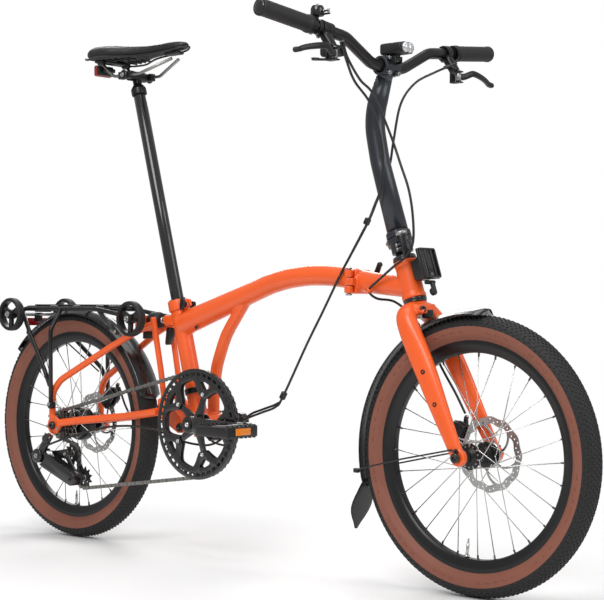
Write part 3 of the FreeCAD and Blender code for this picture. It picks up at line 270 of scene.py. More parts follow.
def sweep(name, path, size, material, around=20, towards=None, power=2.0):
    """A bar along a path; size gives (half width, half depth) in millimetres for a share of the length."""
    verts, faces = [], []
    lengths = [0.0]
    for a, b in zip(path, path[1:]):
        lengths.append(lengths[-1] + (b - a).length)
    tangents = []
    for i in range(len(path)):
        ahead = path[min(i + 1, len(path) - 1)] - path[max(i - 1, 0)]
        tangents.append(ahead.normalized())
    side, other = frame_from(tangents[0], towards)
    for i, point in enumerate(path):
        tangent = tangents[i]
        side = (side - tangent * side.dot(tangent)).normalized()
        other = tangent.cross(side)
        share = lengths[i] / lengths[-1]
        wide, deep = size(share) if callable(size) else size
        for k in range(around):
            angle = 2 * math.pi * k / around
            c, s = math.cos(angle), math.sin(angle)
            c = math.copysign(abs(c) ** (2 / power), c)
            s = math.copysign(abs(s) ** (2 / power), s)
            verts.append(point + side * (wide * MM * c) + other * (deep * MM * s))
    rows = len(path)
    for i in range(rows - 1):
        for k in range(around):
            n = (k + 1) % around
            faces.append((i * around + k, i * around + n, (i + 1) * around + n, (i + 1) * around + k))
    faces.append(tuple(range(around))[::-1])
    faces.append(tuple((rows - 1) * around + k for k in range(around)))
    piece = new_piece(name, verts, faces, material)
    for end in piece.data.polygons[-2:]:
        end.use_smooth = False
    return piece


def tube(name, points, radius, material, bend=30, around=20):
    """A round bent bar: points and radii in millimetres."""
    return sweep(name, bent(points, bend), (radius, radius), material, around)


def prism(name, outline, thickness, at, across, up, material, holes=(), bevel=0.0):
    """A flat plate: outline and holes as millimetre pairs along two directions, thickness in millimetres."""
    across, up = across.normalized(), up.normalized()
    normal = across.cross(up).normalized()
    work = bmesh.new()
    loops = []
    for loop in [outline, *holes]:
        points = [work.verts.new(at + across * (x * MM) + up * (y * MM) - normal * (thickness * MM / 2))
                  for x, y in loop]
        loops.append([work.edges.new((points[i],
                                      points[(i + 1) % len(points)])) for i in range(len(points))])
    edges = [edge for loop in loops for edge in loop]
    if holes:
        bmesh.ops.triangle_fill(work, use_beauty=True, use_dissolve=False, edges=edges)
    else:
        bmesh.ops.contextual_create(work, geom=edges)
    faces = list(work.faces)
    made = bmesh.ops.extrude_face_region(work, geom=faces)
    moved = [item for item in made["geom"] if isinstance(item, bmesh.types.BMVert)]
    bmesh.ops.translate(work, verts=moved, vec=normal * (thickness * MM))
    bmesh.ops.recalc_face_normals(work, faces=work.faces)
    mesh = bpy.data.meshes.new(name)
    work.to_mesh(mesh)
    work.free()
    mesh.materials.append(material)
    piece = bpy.data.objects.new(name, mesh)
    bpy.context.scene.collection.objects.link(piece)
    if bevel:
        soften(piece, bevel)
    return piece


def modifier(piece, kind, **values):
    item = piece.modifiers.new(kind.lower(), kind)
    for name, value in values.items():
        setattr(item, name, value)
    return item


def apply_all(piece):
    """Bake the modifiers into the mesh."""
    bpy.context.view_layer.update()
    graph = bpy.context.evaluated_depsgraph_get()
    mesh = bpy.data.meshes.new_from_object(piece.evaluated_get(graph))
    piece.modifiers.clear()
    piece.data = mesh
    return piece


def soften(piece, width, segments=2, angle=40):
    """Rounded edges, width in millimetres, with smooth shading."""
    modifier(piece, "BEVEL", width=width * MM, segments=segments, limit_method="ANGLE",
             angle_limit=math.radians(angle), harden_normals=False)
    apply_all(piece)
    piece.data.polygons.foreach_set("use_smooth", [True] * len(piece.data.polygons))
    modifier(piece, "WEIGHTED_NORMAL", keep_sharp=True)
    return apply_all(piece)


def block(name, size, at, material, axes=(X, Y, Z), bevel=2.0):
    """A rounded block: size in millimetres along three directions, round a point in metres."""
    corners = []
    for z in (-0.5, 0.5):
        for x, y in ((-0.5, -0.5), (0.5, -0.5), (0.5, 0.5), (-0.5, 0.5)):
            corners.append(at + axes[0] * (x * size[0] * MM) + axes[1] * (y * size[1] * MM)
                           + axes[2] * (z * size[2] * MM))
    faces = [(3, 2, 1, 0), (4, 5, 6, 7), (0, 1, 5, 4), (1, 2, 6, 5), (2, 3, 7, 6), (3, 0, 4, 7)]
    piece = recalc(new_piece(name, corners, faces, material, smooth=False))
    return soften(piece, bevel, segments=3) if bevel else piece


def melt(name, pieces, voxel, material, rounds=6, strength=0.5):
    """Overlapping pieces melted into one skin with small fillets where they meet, like brazed tubes."""
    whole = join(name, pieces)
    modifier(whole, "REMESH", mode="VOXEL", voxel_size=voxel * MM, use_smooth_shade=True)
    modifier(whole, "SMOOTH", factor=strength, iterations=rounds)
    apply_all(whole)
    whole.data.materials.clear()
    whole.data.materials.append(material)
    whole.data.polygons.foreach_set("use_smooth", [True] * len(whole.data.polygons))
    return whole


def place(piece, body, *nodes, slot=None):
    """Ride on a body and stand for the CAD nodes it replaces."""
    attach(piece, body)
    if nodes:
        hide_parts(*nodes)
    return piece


def fit(node, pieces, body, slot):
    """Join the pieces that stand for one CAD node and let them ride its body."""
    return place(join(node + "_looks", pieces), body, node, slot=slot)


# ---------------------------------------------------------------- materials
def material(name, colour, rough, metal=0.0, grain=60.0, bump=0.15, vary=0.25, worn=None, wear=0.0,
             coat=0.0, speckle=0.0, mottle=0.18):
    """A procedural finish: noise in colour and roughness, a fine bump, and wear where edges meet the air."""
    made = bpy.data.materials.new(name)
    made.use_nodes = True
    nodes, links = made.node_tree.nodes, made.node_tree.links
    nodes.clear()
    out = nodes.new("ShaderNodeOutputMaterial")
    shader = nodes.new("ShaderNodeBsdfPrincipled")
    where = nodes.new("ShaderNodeTexCoord")

    def noise_node(scale, fine, rough_noise=0.6):
        node = nodes.new("ShaderNodeTexNoise")
        node.inputs["Scale"].default_value = scale
        node.inputs["Detail"].default_value = fine
        node.inputs["Roughness"].default_value = rough_noise
        links.new(where.outputs["Object"], node.inputs["Vector"])
        return node

    def between(low, high, value):
        node = nodes.new("ShaderNodeMapRange")
        node.inputs["To Min"].default_value = low
        node.inputs["To Max"].default_value = high
        links.new(value, node.inputs["Value"])
        return node.outputs["Result"]

    def blend_colour(factor, first, second):
        node = nodes.new("ShaderNodeMix")
        node.data_type = "RGBA"
        for socket, value in ((node.inputs[6], first), (node.inputs[7], second)):
            if isinstance(value, tuple):
                socket.default_value = (*value, 1)
            else:
                links.new(value, socket)
        links.new(factor, node.inputs[0])
        return node.outputs[2]

    broad = noise_node(9.0, 4.0)
    fine = noise_node(grain, 6.0)
    deep = tuple(c * (1 - mottle) for c in colour)
    light = tuple(min(1.0, c * (1 + 0.44 * mottle) + 0.002) for c in colour)
    tint = blend_colour(between(0.0, 1.0, broad.outputs["Fac"]), deep, light)
    if speckle:
        dust = noise_node(grain * 6, 2.0)
        tint = blend_colour(between(-0.6, speckle, dust.outputs["Fac"]), tint, (0.33, 0.31, 0.28))
    if worn and wear:
        edge = nodes.new("ShaderNodeNewGeometry")
        sharp = nodes.new("ShaderNodeMapRange")
        sharp.inputs["From Min"].default_value = 0.54
        sharp.inputs["From Max"].default_value = 0.66
        sharp.inputs["To Max"].default_value = wear
        links.new(edge.outputs["Pointiness"], sharp.inputs["Value"])
        patch = nodes.new("ShaderNodeMath")
        patch.operation = "MULTIPLY"
        links.new(sharp.outputs["Result"], patch.inputs[0])
        links.new(between(0.2, 1.4, fine.outputs["Fac"]), patch.inputs[1])
        tint = blend_colour(patch.outputs["Value"], tint, worn)
    links.new(tint, shader.inputs["Base Color"])
    links.new(between(max(0.03, rough - vary * rough), min(1.0, rough + vary * rough), fine.outputs["Fac"]),
              shader.inputs["Roughness"])
    shader.inputs["Metallic"].default_value = metal
    shader.inputs["Coat Weight"].default_value = coat
    shader.inputs["Coat Roughness"].default_value = 0.12
    relief = nodes.new("ShaderNodeBump")
    relief.inputs["Strength"].default_value = bump
    relief.inputs["Distance"].default_value = 0.0006
    links.new(fine.outputs["Fac"], relief.inputs["Height"])
    links.new(relief.outputs["Normal"], shader.inputs["Normal"])
    links.new(shader.outputs["BSDF"], out.inputs["Surface"])
    return made


RUBBER = material("rubber_tread", (0.009, 0.009, 0.0092), 0.66, grain=900, bump=0.5, speckle=0.03)
SIDEWALL = material("tan_sidewall", (0.235, 0.078, 0.047), 0.62, grain=1400, bump=0.35, speckle=0.06)
BLACK_METAL = material("black_anodised", (0.007, 0.007, 0.008), 0.32, metal=0.25, grain=700, bump=0.12,
                       worn=(0.16, 0.16, 0.16), wear=0.35)
GLOSS_METAL = material("gloss_black_alloy", (0.008, 0.008, 0.009), 0.16, metal=0.1, grain=260, bump=0.05,
                       coat=0.5,
                       worn=(0.12, 0.12, 0.12), wear=0.25)
SILVER = material("bright_steel", (0.56, 0.56, 0.55), 0.26, metal=1.0, grain=500, bump=0.10,
                  worn=(0.8, 0.8, 0.8), wear=0.4)
STEEL = material("worn_steel", (0.30, 0.30, 0.29), 0.38, metal=1.0, grain=900, bump=0.22,
                 worn=(0.55, 0.55, 0.55), wear=0.6)
DISC_STEEL = material("rotor_steel", (0.46, 0.46, 0.45), 0.30, metal=1.0, grain=420, bump=0.18, vary=0.4)
DARK_STEEL = material("blackened_steel", (0.022, 0.022, 0.024), 0.36, metal=0.7, grain=900, bump=0.2,
                      worn=(0.30, 0.30, 0.29), wear=0.6)
CHAIN_STEEL = material("chain_steel", (0.20, 0.19, 0.175), 0.40, metal=1.0, grain=1200, bump=0.25,
                       worn=(0.5, 0.5, 0.48), wear=0.5)
PAINT = material("satin_orange_paint", (0.92, 0.114, 0.009), 0.36, grain=1500, bump=0.06, vary=0.18,
                 coat=0.30,
                 worn=(0.95, 0.24, 0.08), wear=0.20)
POST_PAINT = material("satin_slate_paint", (0.024, 0.028, 0.036), 0.34, metal=0.35, grain=1300, bump=0.08,
                      coat=0.2, worn=(0.20, 0.21, 0.22), wear=0.25)
COVER = material("saddle_cover", (0.008, 0.008, 0.0085), 0.46, grain=520, bump=0.45, vary=0.2)
GRIP = material("grip_rubber", (0.008, 0.008, 0.0085), 0.58, grain=800, bump=0.5)
CABLE = material("cable_housing", (0.009, 0.009, 0.009), 0.36, grain=600, bump=0.08)
PLASTIC = material("black_plastic", (0.007, 0.007, 0.0075), 0.40, grain=420, bump=0.18,
                   worn=(0.06, 0.06, 0.06), wear=0.4)
GLOSS = material("gloss_black_plastic", (0.006, 0.006, 0.007), 0.24, grain=200, bump=0.04, coat=0.35)
RED = material("red_lens", (0.42, 0.006, 0.008), 0.14, grain=240, bump=0.25, coat=0.6)
AMBER = material("amber_reflector", (0.85, 0.24, 0.01), 0.18, grain=240, bump=0.3, coat=0.6)
CLEAR = material("lamp_lens", (0.62, 0.64, 0.66), 0.10, metal=0.55, grain=160, bump=0.3, coat=0.7)
ORANGE_PART = material("orange_anodised", (0.90, 0.13, 0.02), 0.28, metal=0.5, grain=500, bump=0.08)


# ---------------------------------------------------------------- wheels
RIM_RADIUS, RIM_WIDTH, RIM_DEPTH = 209.5, 27.2, 23
SPOKES = 28
TREAD_TOP = TYRE_RADIUS / MM - 1.6
SECTION = 24.6
SECTION_MID = TREAD_TOP - SECTION


def tyre_point(hub, turn, lean, lift=0.0):
    """A point on the tyre's skin: turn is round the wheel, lean across the tread, both in radians."""
    radius = SECTION_MID + (SECTION + lift) * math.cos(lean)
    sideways = (SECTION + lift) * 1.02 * math.sin(lean)
    return hub + Vector((radius * math.cos(turn), sideways, radius * math.sin(turn))) * MM


def tread_knobs(hub, name):
    """Rows of small diamond knobs, larger towards the shoulders."""
    rows = ((0, 150, 3.2, 2.5), (11, 150, 3.2, 2.5), (22, 150, 3.3, 2.6), (33.5, 150, 3.5, 2.9),
            (46, 150, 3.9, 3.4),
            (59, 112, 4.8, 3.4), (71, 112, 4.2, 2.6))
    verts, faces = [], []
    for lean, count, long, wide in rows:
        for side in ((1, -1) if lean else (1,)):
            middle = math.radians(lean) * side
            for i in range(count):
                odd = 0.5 if round(lean / 11) % 2 else 0.0
                turn = 2 * math.pi * (i + odd) / count
                base = len(verts)
                for scale, lift in ((1.0, -0.5), (0.72, 1.5)):
                    for dt, dl in ((1, 0), (0, 1), (-1, 0), (0, -1)):
                        verts.append(tyre_point(hub, turn + dt * long * scale / (TREAD_TOP - 4),
                                                middle + dl * wide * scale / SECTION, lift))
                faces.append((base + 4, base + 5, base + 6, base + 7))
                faces.append((base + 3, base + 2, base + 1, base))
                faces += [(base + k, base + (k + 1) % 4, base + 4 + (k + 1) % 4,
                           base + 4 + k) for k in range(4)]
    return recalc(new_piece(name, verts, faces, RUBBER, smooth=False))


def tyre(end, hub):
    """A knobbly tyre: black tread, tan sidewalls with moulded rings and a row of short dashes."""
    outer = []
    for degrees in range(-126, 127, 6):
        lean = math.radians(degrees)
        ring = 0.45 if abs(degrees) in (78, 114) else 0.0
        outer.append((SECTION_MID + (SECTION + ring) * math.cos(lean),
                      (SECTION + ring) * 1.02 * math.sin(lean)))
    bead = [(RIM_RADIUS + 0.4, 14.2), (RIM_RADIUS - 4, 11.6), (RIM_RADIUS - 4, 8.6), (RIM_RADIUS + 3, 9.0)]
    inner = [(SECTION_MID + (SECTION - 3.4) * math.cos(math.radians(d)),
              (SECTION - 3.4) * math.sin(math.radians(d))) for d in range(114, -115, -19)]
    profile = outer + bead + inner + [(r, -y) for r, y in bead[::-1]]
    body = lathe(end + "_tyre_body", profile, hub, Y, [RUBBER, SIDEWALL], turns=168)
    for face in body.data.polygons:
        offset = face.center - hub
        reach = math.hypot(offset.x, offset.z) / MM
        lean = math.degrees(math.atan2(abs(offset.y) / MM, reach - SECTION_MID))
        face.material_index = 1 if lean > 78 and abs(offset.y) > 13 * MM else 0
    dashes = []
    for side in (1, -1):
        for i in range(72):
            if i % 12 in (0, 1, 5, 6):
                continue
            verts = []
            for lift in (-0.4, 0.35):
                for dt, dl in ((-0.022, -3.2), (0.022, -3.2), (0.022, 3.2), (-0.022, 3.2)):
                    verts.append(tyre_point(hub, 2 * math.pi * i / 72 + dt, side * math.radians(100 + dl),
                                            lift))
            faces = [(0, 1, 2, 3), (7, 6, 5, 4), (0, 4, 5, 1), (1, 5, 6, 2), (2, 6, 7, 3), (3, 7, 4, 0)]
            dashes.append(recalc(new_piece("dash", verts, faces, SIDEWALL)))
    whole = join(end + "_tyre_looks", [body, tread_knobs(hub, end + "_knobs"), *dashes])
    return place(whole, end + "_wheel", end + "_tyre", slot="tyre")


def rim(end, hub):
    """A deep black box rim with spoke eyelets and a silver valve."""
    half, root = RIM_WIDTH / 2, RIM_RADIUS - RIM_DEPTH
    profile = [(root, -6), (root, 6), (root + 4, 9.4), (RIM_RADIUS - 8, half - 0.3), (RIM_RADIUS - 1, half),
               (RIM_RADIUS + 0.3, half - 0.6), (RIM_RADIUS - 0.6, half - 1.7), (RIM_RADIUS - 6, half - 2.0),
               (RIM_RADIUS - 9, half - 6), (RIM_RADIUS - 12, 0)]
    profile += [(r, -y) for r, y in profile[-2:1:-1]]
    ring = lathe(end + "_rim_ring", rounded_profile(profile, 1.6, 3), hub, Y, BLACK_METAL, turns=168)
    pieces = [ring]
    for i, turn in enumerate(turns(SPOKES)):
        way = wheel_way(turn)
        lean = (way + Y * (-0.10 if i % 2 == 0 else 0.10)).normalized()
        at = hub + way * ((root - 7) * MM) + Y * ((-2.6 if i % 2 == 0 else 2.6) * MM)
        pieces.append(lathe("nipple", [(0, 0), (1.5, 0), (1.9, 1), (1.9, 6), (2.6, 7), (2.6, 9), (0, 9)],
                            at, lean, GLOSS_METAL, turns=10, closed=False))
    turn = math.radians(263 if end == "front" else 268)
    way = wheel_way(turn)
    pieces.append(lathe("valve", [(0, 0), (1.6, 0), (1.6, 7), (2.1, 7), (2.1, 9), (2.9, 9.5), (2.9, 40),
                                  (0, 40)],
                        hub + way * ((root - 34) * MM), way, SILVER, turns=16, closed=False))
    pieces.append(lathe("valve_nut", [(2.9, 0), (5.2, 0.4), (5.2, 3.6), (2.9, 4)],
                        hub + way * ((root - 4.4) * MM), way, SILVER, turns=12))
    fit(end + "_rim", pieces, end + "_wheel", "rim")


def spokes(end, hub, flange):
    """Crossed bright spokes with bent ends at the hub."""
    wires = []
    for i, angle in enumerate(turns(SPOKES)):
        side = 1 if i % 2 else -1
        lean = 1.2 if (i // 2) % 2 else -1.2
        hole = Vector((21.5 * math.cos(angle + lean), 0, 21.5 * math.sin(angle + lean)))
        reach = RIM_RADIUS - RIM_DEPTH - 4
        end_at = hub + Vector((reach * math.cos(angle), side * 2.7, reach * math.sin(angle))) * MM
        head = 1 if (i // 2) % 2 else -1
        start = hub + hole * MM + Y * ((side * flange + head * 2.0) * MM)
        elbow = hub + hole * 1.04 * MM + Y * ((side * flange - head * 1.2) * MM)
        wires.append(sweep("spoke", [start, elbow, elbow.lerp(end_at, 0.03), end_at], (0.95, 0.95), SILVER,
                           8))
    fit(end + "_spokes", wires, end + "_wheel", "bright_steel")


def rotor(hub, plane, radius=70):
    """A drilled brake disc with a wavy edge, curved arms and a splined black carrier."""
    at = hub + Y * (plane * MM)
    outline = []
    for turn in turns(180):
        wave = radius - 1.2 + 1.2 * math.cos(turn * 12)
        outline.append((wave * math.cos(turn), wave * math.sin(turn)))
    inner = []
    for turn in turns(144):
        wave = radius - 14.5 + 1.5 * math.cos(turn * 12 + 0.6)
        inner.append((wave * math.cos(turn), wave * math.sin(turn)))
    holes = [inner]
    for i, turn in enumerate(turns(48)):
        reach = radius - (4.6, 7.8, 11.0)[i % 3]
        holes.append(circle(1.9, 8, (reach * math.cos(turn), reach * math.sin(turn))))
    pieces = [prism("disc", outline, 1.8, at, X, Z, DISC_STEEL, holes)]
    for first in turns(6):
        turn = first + 0.2
        path = []
        for k in range(9):
            share = k / 8
            angle = turn + 0.62 * share ** 1.4
            reach = 19 + (radius - 31) * share
            path.append(at + Vector((reach * math.cos(angle), 0, reach * math.sin(angle))) * MM)
        pieces.append(sweep("disc_arm", path, lambda s: (3.3 - 1.2 * math.sin(math.pi * s), 0.9),
                            DISC_STEEL, 12,
                            towards=Z, power=5))
    pieces.append(lathe("disc_ring", [(17, -1.1), (24, -1.1), (24, 1.1), (17, 1.1)], at, Y, DISC_STEEL, 48))
    carrier = lathe("disc_nut", rounded_profile([(10, -3), (20, -3), (20.5, 0), (17, 3.4), (10, 3.4)], 0.8),
                    at, Y,
                    BLACK_METAL, 48)
    teeth = []
    for turn in turns(16):
        way = wheel_way(turn)
        teeth.append(block("spline", (3, 2.4, 3), at + way * (15.2 * MM) + Y * (3.6 * MM), BLACK_METAL,
                           (way, Y, way.cross(Y)), 0))
    return [*pieces, carrier, *teeth]


def hub(end, at, gap, flange, plane):
    """A black hub shell with drilled flanges, end caps and its brake disc."""
    half = gap / 2 - 0.5
    profile = [(6.5, -half), (9, -half), (10.5, -half + 4), (10.5, -flange - 8), (14, -flange - 5),
               (17, -flange - 2),
               (23.6, -flange - 1.6), (24.4, -flange), (23.6, -flange + 1.6), (16, -flange + 3),
               (12.5, -flange + 9),
               (11.6, 0)]
    profile += [(r, -y) for r, y in profile[-2::-1]]
    shell = lathe("shell", rounded_profile(profile, 1.2, 3), at, Y, BLACK_METAL, 72)
    marks = []
    for side in (1, -1):
        for turn in turns(14, 0.5):
            way = wheel_way(turn)
            marks.append(lathe("eyelet", [(0, -2.1), (1.7, -2.1), (2.1, -1.8), (2.1, 1.8), (1.7, 2.1),
                                          (0, 2.1)],
                               at + way * (18.9 * MM) + Y * (side * flange * MM), Y, STEEL, 10,
                               closed=False))
        marks.append(lathe("cap", rounded_profile([(6.3, 0), (9.4, 0), (10, 1), (10, 5), (6.3, 5)], 0.6),
                           at + Y * ((side * (half - 3) - 2.5) * MM), Y, STEEL, 36))
    if end == "rear":
        drum = [(11, -19), (28, -18), (32, -14), (32, -6), (37, -2), (38, 3), (38, 17), (35, 21), (11, 22)]
        marks.append(lathe("drum", rounded_profile(drum, 1.4), at, Y, BLACK_METAL, 80))
    whole = join(end + "_hub_looks", [shell, *marks, *rotor(at, plane)])
    return place(whole, end + "_wheel", end + "_hub", slot="black_metal")


def through_axle(end, at, half, head, body):
    """A through axle: a bar with a head each side and a shallow round recess in each end, all in gloss black.
    """
    profile = [(0, -half - 3), (3.4, -half - 3), (3.6, -half - 6.6), (head - 1.6, -half - 6.8),
               (head, -half - 4.6),
               (head, -half), (5.9, -half), (5.9, half), (head, half), (head, half + 4.6),
               (head - 1.6, half + 6.8),
               (3.6, half + 6.6), (3.4, half + 3), (0, half + 3)]
    bar = lathe(end + "_axle_looks", rounded_profile(profile, 0.5, 2), at, Y, GLOSS_METAL, 48, closed=False)
    return place(bar, body, end + "_axle", slot="steel")


def wheels():
    """Both wheels with their tyres, rims, spokes, hubs and axles."""
    for end, at, gap, flange, plane in (("front", FRONT_HUB, 100, 24, 39),
                                        ("rear", REAR_HUB, 135, 28, 52.5)):
        tyre(end, at)
        rim(end, at)
        spokes(end, at, flange)
        hub(end, at, gap, flange, plane)
    through_axle("front", FRONT_HUB, 66, 9, "fork")
    through_axle("rear", REAR_HUB, 75.1, 9, "rear_frame")


wheels()


# ---------------------------------------------------------------- frame tubes
MAIN_TUBE = ((-216, 485), (7.4, 558.6), (45, 571.5), (95, 582), (150, 587.2), (200, 586.2), (242.9, 581.7))


def line_mm(point):
    return tuple(c / MM for c in point)


def seat_mm(height):
    return line_mm(seat_line(height * MM))


def steer_mm(height):
    return line_mm(steer_line(height * MM))


def post(name, low, high, radius, material, around=40):
    """A straight round bar between two millimetre points."""
    return sweep(name, [vec(low), vec(high)], (radius, radius), material, around)


def barrel(name, at, axis, radius, length, material, edge=1.2, turns=40, bore=0.0):
    """A short turned cylinder with eased edges, centred on a millimetre point; bored if bore is given."""
    half = length / 2
    profile = [(bore, -half), (radius, -half), (radius, half), (bore, half)]
    if bore:
        return lathe(name, rounded_profile(profile, edge, 3), vec(at), axis, material, turns)
    middle = rounded_profile(profile, edge, 3)
    cut_off = [point for point in middle if point[0] > 1e-6]
    return lathe(name, [(0, -half), *cut_off, (0, half)], vec(at), axis, material, turns, closed=False)


def bolt(name, at, axis, radius, height, material, socket=True):
    """A round bolt head with a hexagon socket, standing on a millimetre point."""
    profile = [(0, 0), (radius, 0), (radius, height * 0.55), (radius * 0.84, height)]
    if socket:
        profile += [(radius * 0.5, height), (radius * 0.46, height * 0.35), (0, height * 0.3)]
    else:
        profile += [(0, height)]
    return lathe(name, profile, vec(at), axis, material, 24, closed=False)


HINGE_X, HINGE_Y, HINGE_Z = 274.4, -30, 573
HINGE_HALF_HEIGHT = 23


def hinge_half(side):
    """A main hinge half: a rounded flange with its knuckles on the pin line."""
    x = HINGE_X + side * 6.2
    low, high = HINGE_Z - HINGE_HALF_HEIGHT, HINGE_Z + HINGE_HALF_HEIGHT
    third = (high - low) / 3
    pieces = [block("flange", (9.6, 46, 47), vec((x, 2, HINGE_Z)), PAINT, bevel=4)]
    levels = [(1, 2)] if side > 0 else [(0, 1), (2, 3)]
    for first, last in levels:
        bottom, top = low + third * first + 0.6, low + third * last - 0.6
        middle = (bottom + top) / 2
        pieces.append(barrel("knuckle", (HINGE_X, HINGE_Y, middle), Z, 8.3, top - bottom, PAINT))
        pieces.append(block("web", (9, 16, top - bottom), vec((x, -25, middle)), PAINT, bevel=1))
    return pieces


def main_frame():
    """Seat tube, arched main tube and curved strut brazed into one skin with small fillets."""
    ways = [(x, 0, z) for x, z in MAIN_TUBE]

    def swell(share):
        flare = max(0.0, 1 - share / 0.16)
        return (20.5 + 2.5 * flare, 20.5 + 5.5 * flare ** 1.5)

    parts = [
        post("seat_tube", seat_mm(252), seat_mm(535), 18.5, PAINT),
        sweep("main_tube", bent([*ways, (268, 0, 578.2)], 300), swell, PAINT, 40, towards=Y),
        tube("strut", [(-120.6, 0, 290), (-120.6, 0, 345), (-112, 0, 400), (-85, 0, 465), (-14, 0, 556)],
             12.5,
             PAINT, 150, 32),
        barrel("shell", line_mm(BRACKET), Y, 20.6, 68, PAINT),
        barrel("pivot_barrel", line_mm(PIVOT), Y, 12.5, 39.6, PAINT),
        block("pivot_web", (56, 30, 20), vec((-158, 0, 276)), PAINT, bevel=4),
        block("stop", (34, 30, 23), vec((-246, 0, 494)), PAINT, bevel=5),
        *hinge_half(-1),
    ]
    whole = melt("rear_main_frame_looks", parts, 1.7, PAINT, rounds=7)
    place(whole, "main_frame", "rear_main_frame", slot="frame_paint")


def fittings():
    """Bearing cups, hinge pin, pivot bolts, rings and plugs on the rear half of the frame."""
    pieces = []
    for side in (1, -1):
        at = line_mm(BRACKET + Y * (side * 36.7 * MM))
        pieces.append(lathe("cup", rounded_profile([(12.6, -2.2), (20, -2.2), (20, 1.6), (17, 2.4),
                                                    (12.6, 2.4)], 0.6),
                            vec(at), Y * side, BLACK_METAL, 48))
        for turn in turns(16):
            way = wheel_way(turn)
            pieces.append(block("cup_notch", (2.4, 4, 2.4), vec(at) + way * (20 * MM), BLACK_METAL,
                                (way, Y, way.cross(Y)), 0.5))
        pieces.append(bolt("pivot_bolt", line_mm(PIVOT + Y * (side * 30 * MM)), Y * side, 9, 5,
                           BLACK_METAL))
    pieces.append(barrel("hinge_pin", (HINGE_X, HINGE_Y, HINGE_Z), Z, 3.9, 52, STEEL))
    pieces.append(bolt("pin_cap", (HINGE_X, HINGE_Y, HINGE_Z + HINGE_HALF_HEIGHT + 0.6), Z, 6.4, 3, STEEL))
    pieces.append(bolt("pin_foot", (HINGE_X, HINGE_Y, HINGE_Z - HINGE_HALF_HEIGHT - 0.6), -Z, 6.4, 3,
                       STEEL))
    ring = [(18.6, -6), (20.6, -6), (21, -4), (21, 4), (20.6, 6), (18.6, 6)]
    pieces.append(lathe("ring", ring, vec(seat_mm(345)), SEAT_UP, BLACK_METAL, 48))
    pieces.append(block("bottom_block", (34, 24, 12), vec((-110, 0, 253)), PLASTIC, bevel=3))
    pieces.append(barrel("bottom_roller", (-120, 0, 248), Y, 5, 26, PLASTIC))
    pieces.append(bolt("plug", (-156, -17, 480), -Y, 4.2, 2.2, BLACK_METAL))
    fit("frame_fittings", pieces, "main_frame", "black_metal")


def collar():
    """The split collar with its ears, and the lever that closes it."""
    at = seat_line(525 * MM)
    ring = lathe("collar_ring", rounded_profile([(18.7, -11), (22.3, -11), (22.3, 11), (18.7, 11)], 1.4),
                 at, SEAT_UP,
                 PAINT, 64)
    lip = lathe("collar_lip", rounded_profile([(13.8, 10.4), (20.5, 10.4), (19.8, 13), (14.6, 14)], 0.8),
                at, SEAT_UP,
                PLASTIC, 64)
    ears = [block("ear", (15, 7, 15), at + SEAT_UP * (4 * MM) + Vector((25, y, 4)) * MM, PAINT,
                  (X, Y, SEAT_UP), 2) for y in (-5.4, 5.4)]
    fit("seat_collar", [ring, lip, *ears], "main_frame", "black_metal")
    joint = joint_at("seat_lever_swing")
    barrel_part = barrel("cam", line_mm(joint + Y * (1.6 * MM)), Y, 7, 10, BLACK_METAL)
    nut = barrel("cam_nut", line_mm(joint + Y * (30 * MM)), Y, 6.5, 7, BLACK_METAL)
    rod = barrel("cam_rod", line_mm(joint + Y * (14 * MM)), Y, 2.5, 32, STEEL)
    path = [joint + Vector((0, -3, -12)) * MM, joint + Vector((2, -4, -4)) * MM,
            joint + Vector((3, -4, 6)) * MM,
            joint + Vector((2.5, -3, 15)) * MM]
    blade = sweep("cam_blade", path, lambda s: (3.2, 5.0 + 2.0 * math.sin(math.pi * s)), BLACK_METAL, 16,
                  towards=Y,
                  power=2.6)
    soften(blade, 1.0)
    fit("seat_lever", [barrel_part, nut, rod, blade], "seat_lever", "black_metal")


def hinge_lever():
    """The main hinge's clamp plate, its threaded rod and the lever on the left."""
    plate = block("clamp_plate", (34, 7, 32), vec((275.4, 29.5, 573)), BLACK_METAL, bevel=3)
    rod = barrel("clamp_rod", (275.4, 34, 573), Y, 5.8, 16, STEEL)
    nut = bolt("clamp_nut", (275.4, 40, 573), Y, 9, 6, BLACK_METAL)
    path = [vec((275.4, 45, 568)), vec((277, 45.5, 582)), vec((284, 46, 598)), vec((290, 44, 608))]
    blade = sweep("clamp_blade", path, lambda s: (3.4, 7 - 1.8 * s), BLACK_METAL, 16, towards=Y, power=3)
    knob = lathe("clamp_tip", [(0, -4), (4, -4), (5.2, -2), (5.2, 2), (4, 4), (0, 4)], vec((290, 44, 607)),
                 Y,
                 BLACK_METAL, 24, closed=False)
    fit("main_hinge_lever", [plate, rod, nut, blade, knob], "main_hinge_lever", "black_metal")


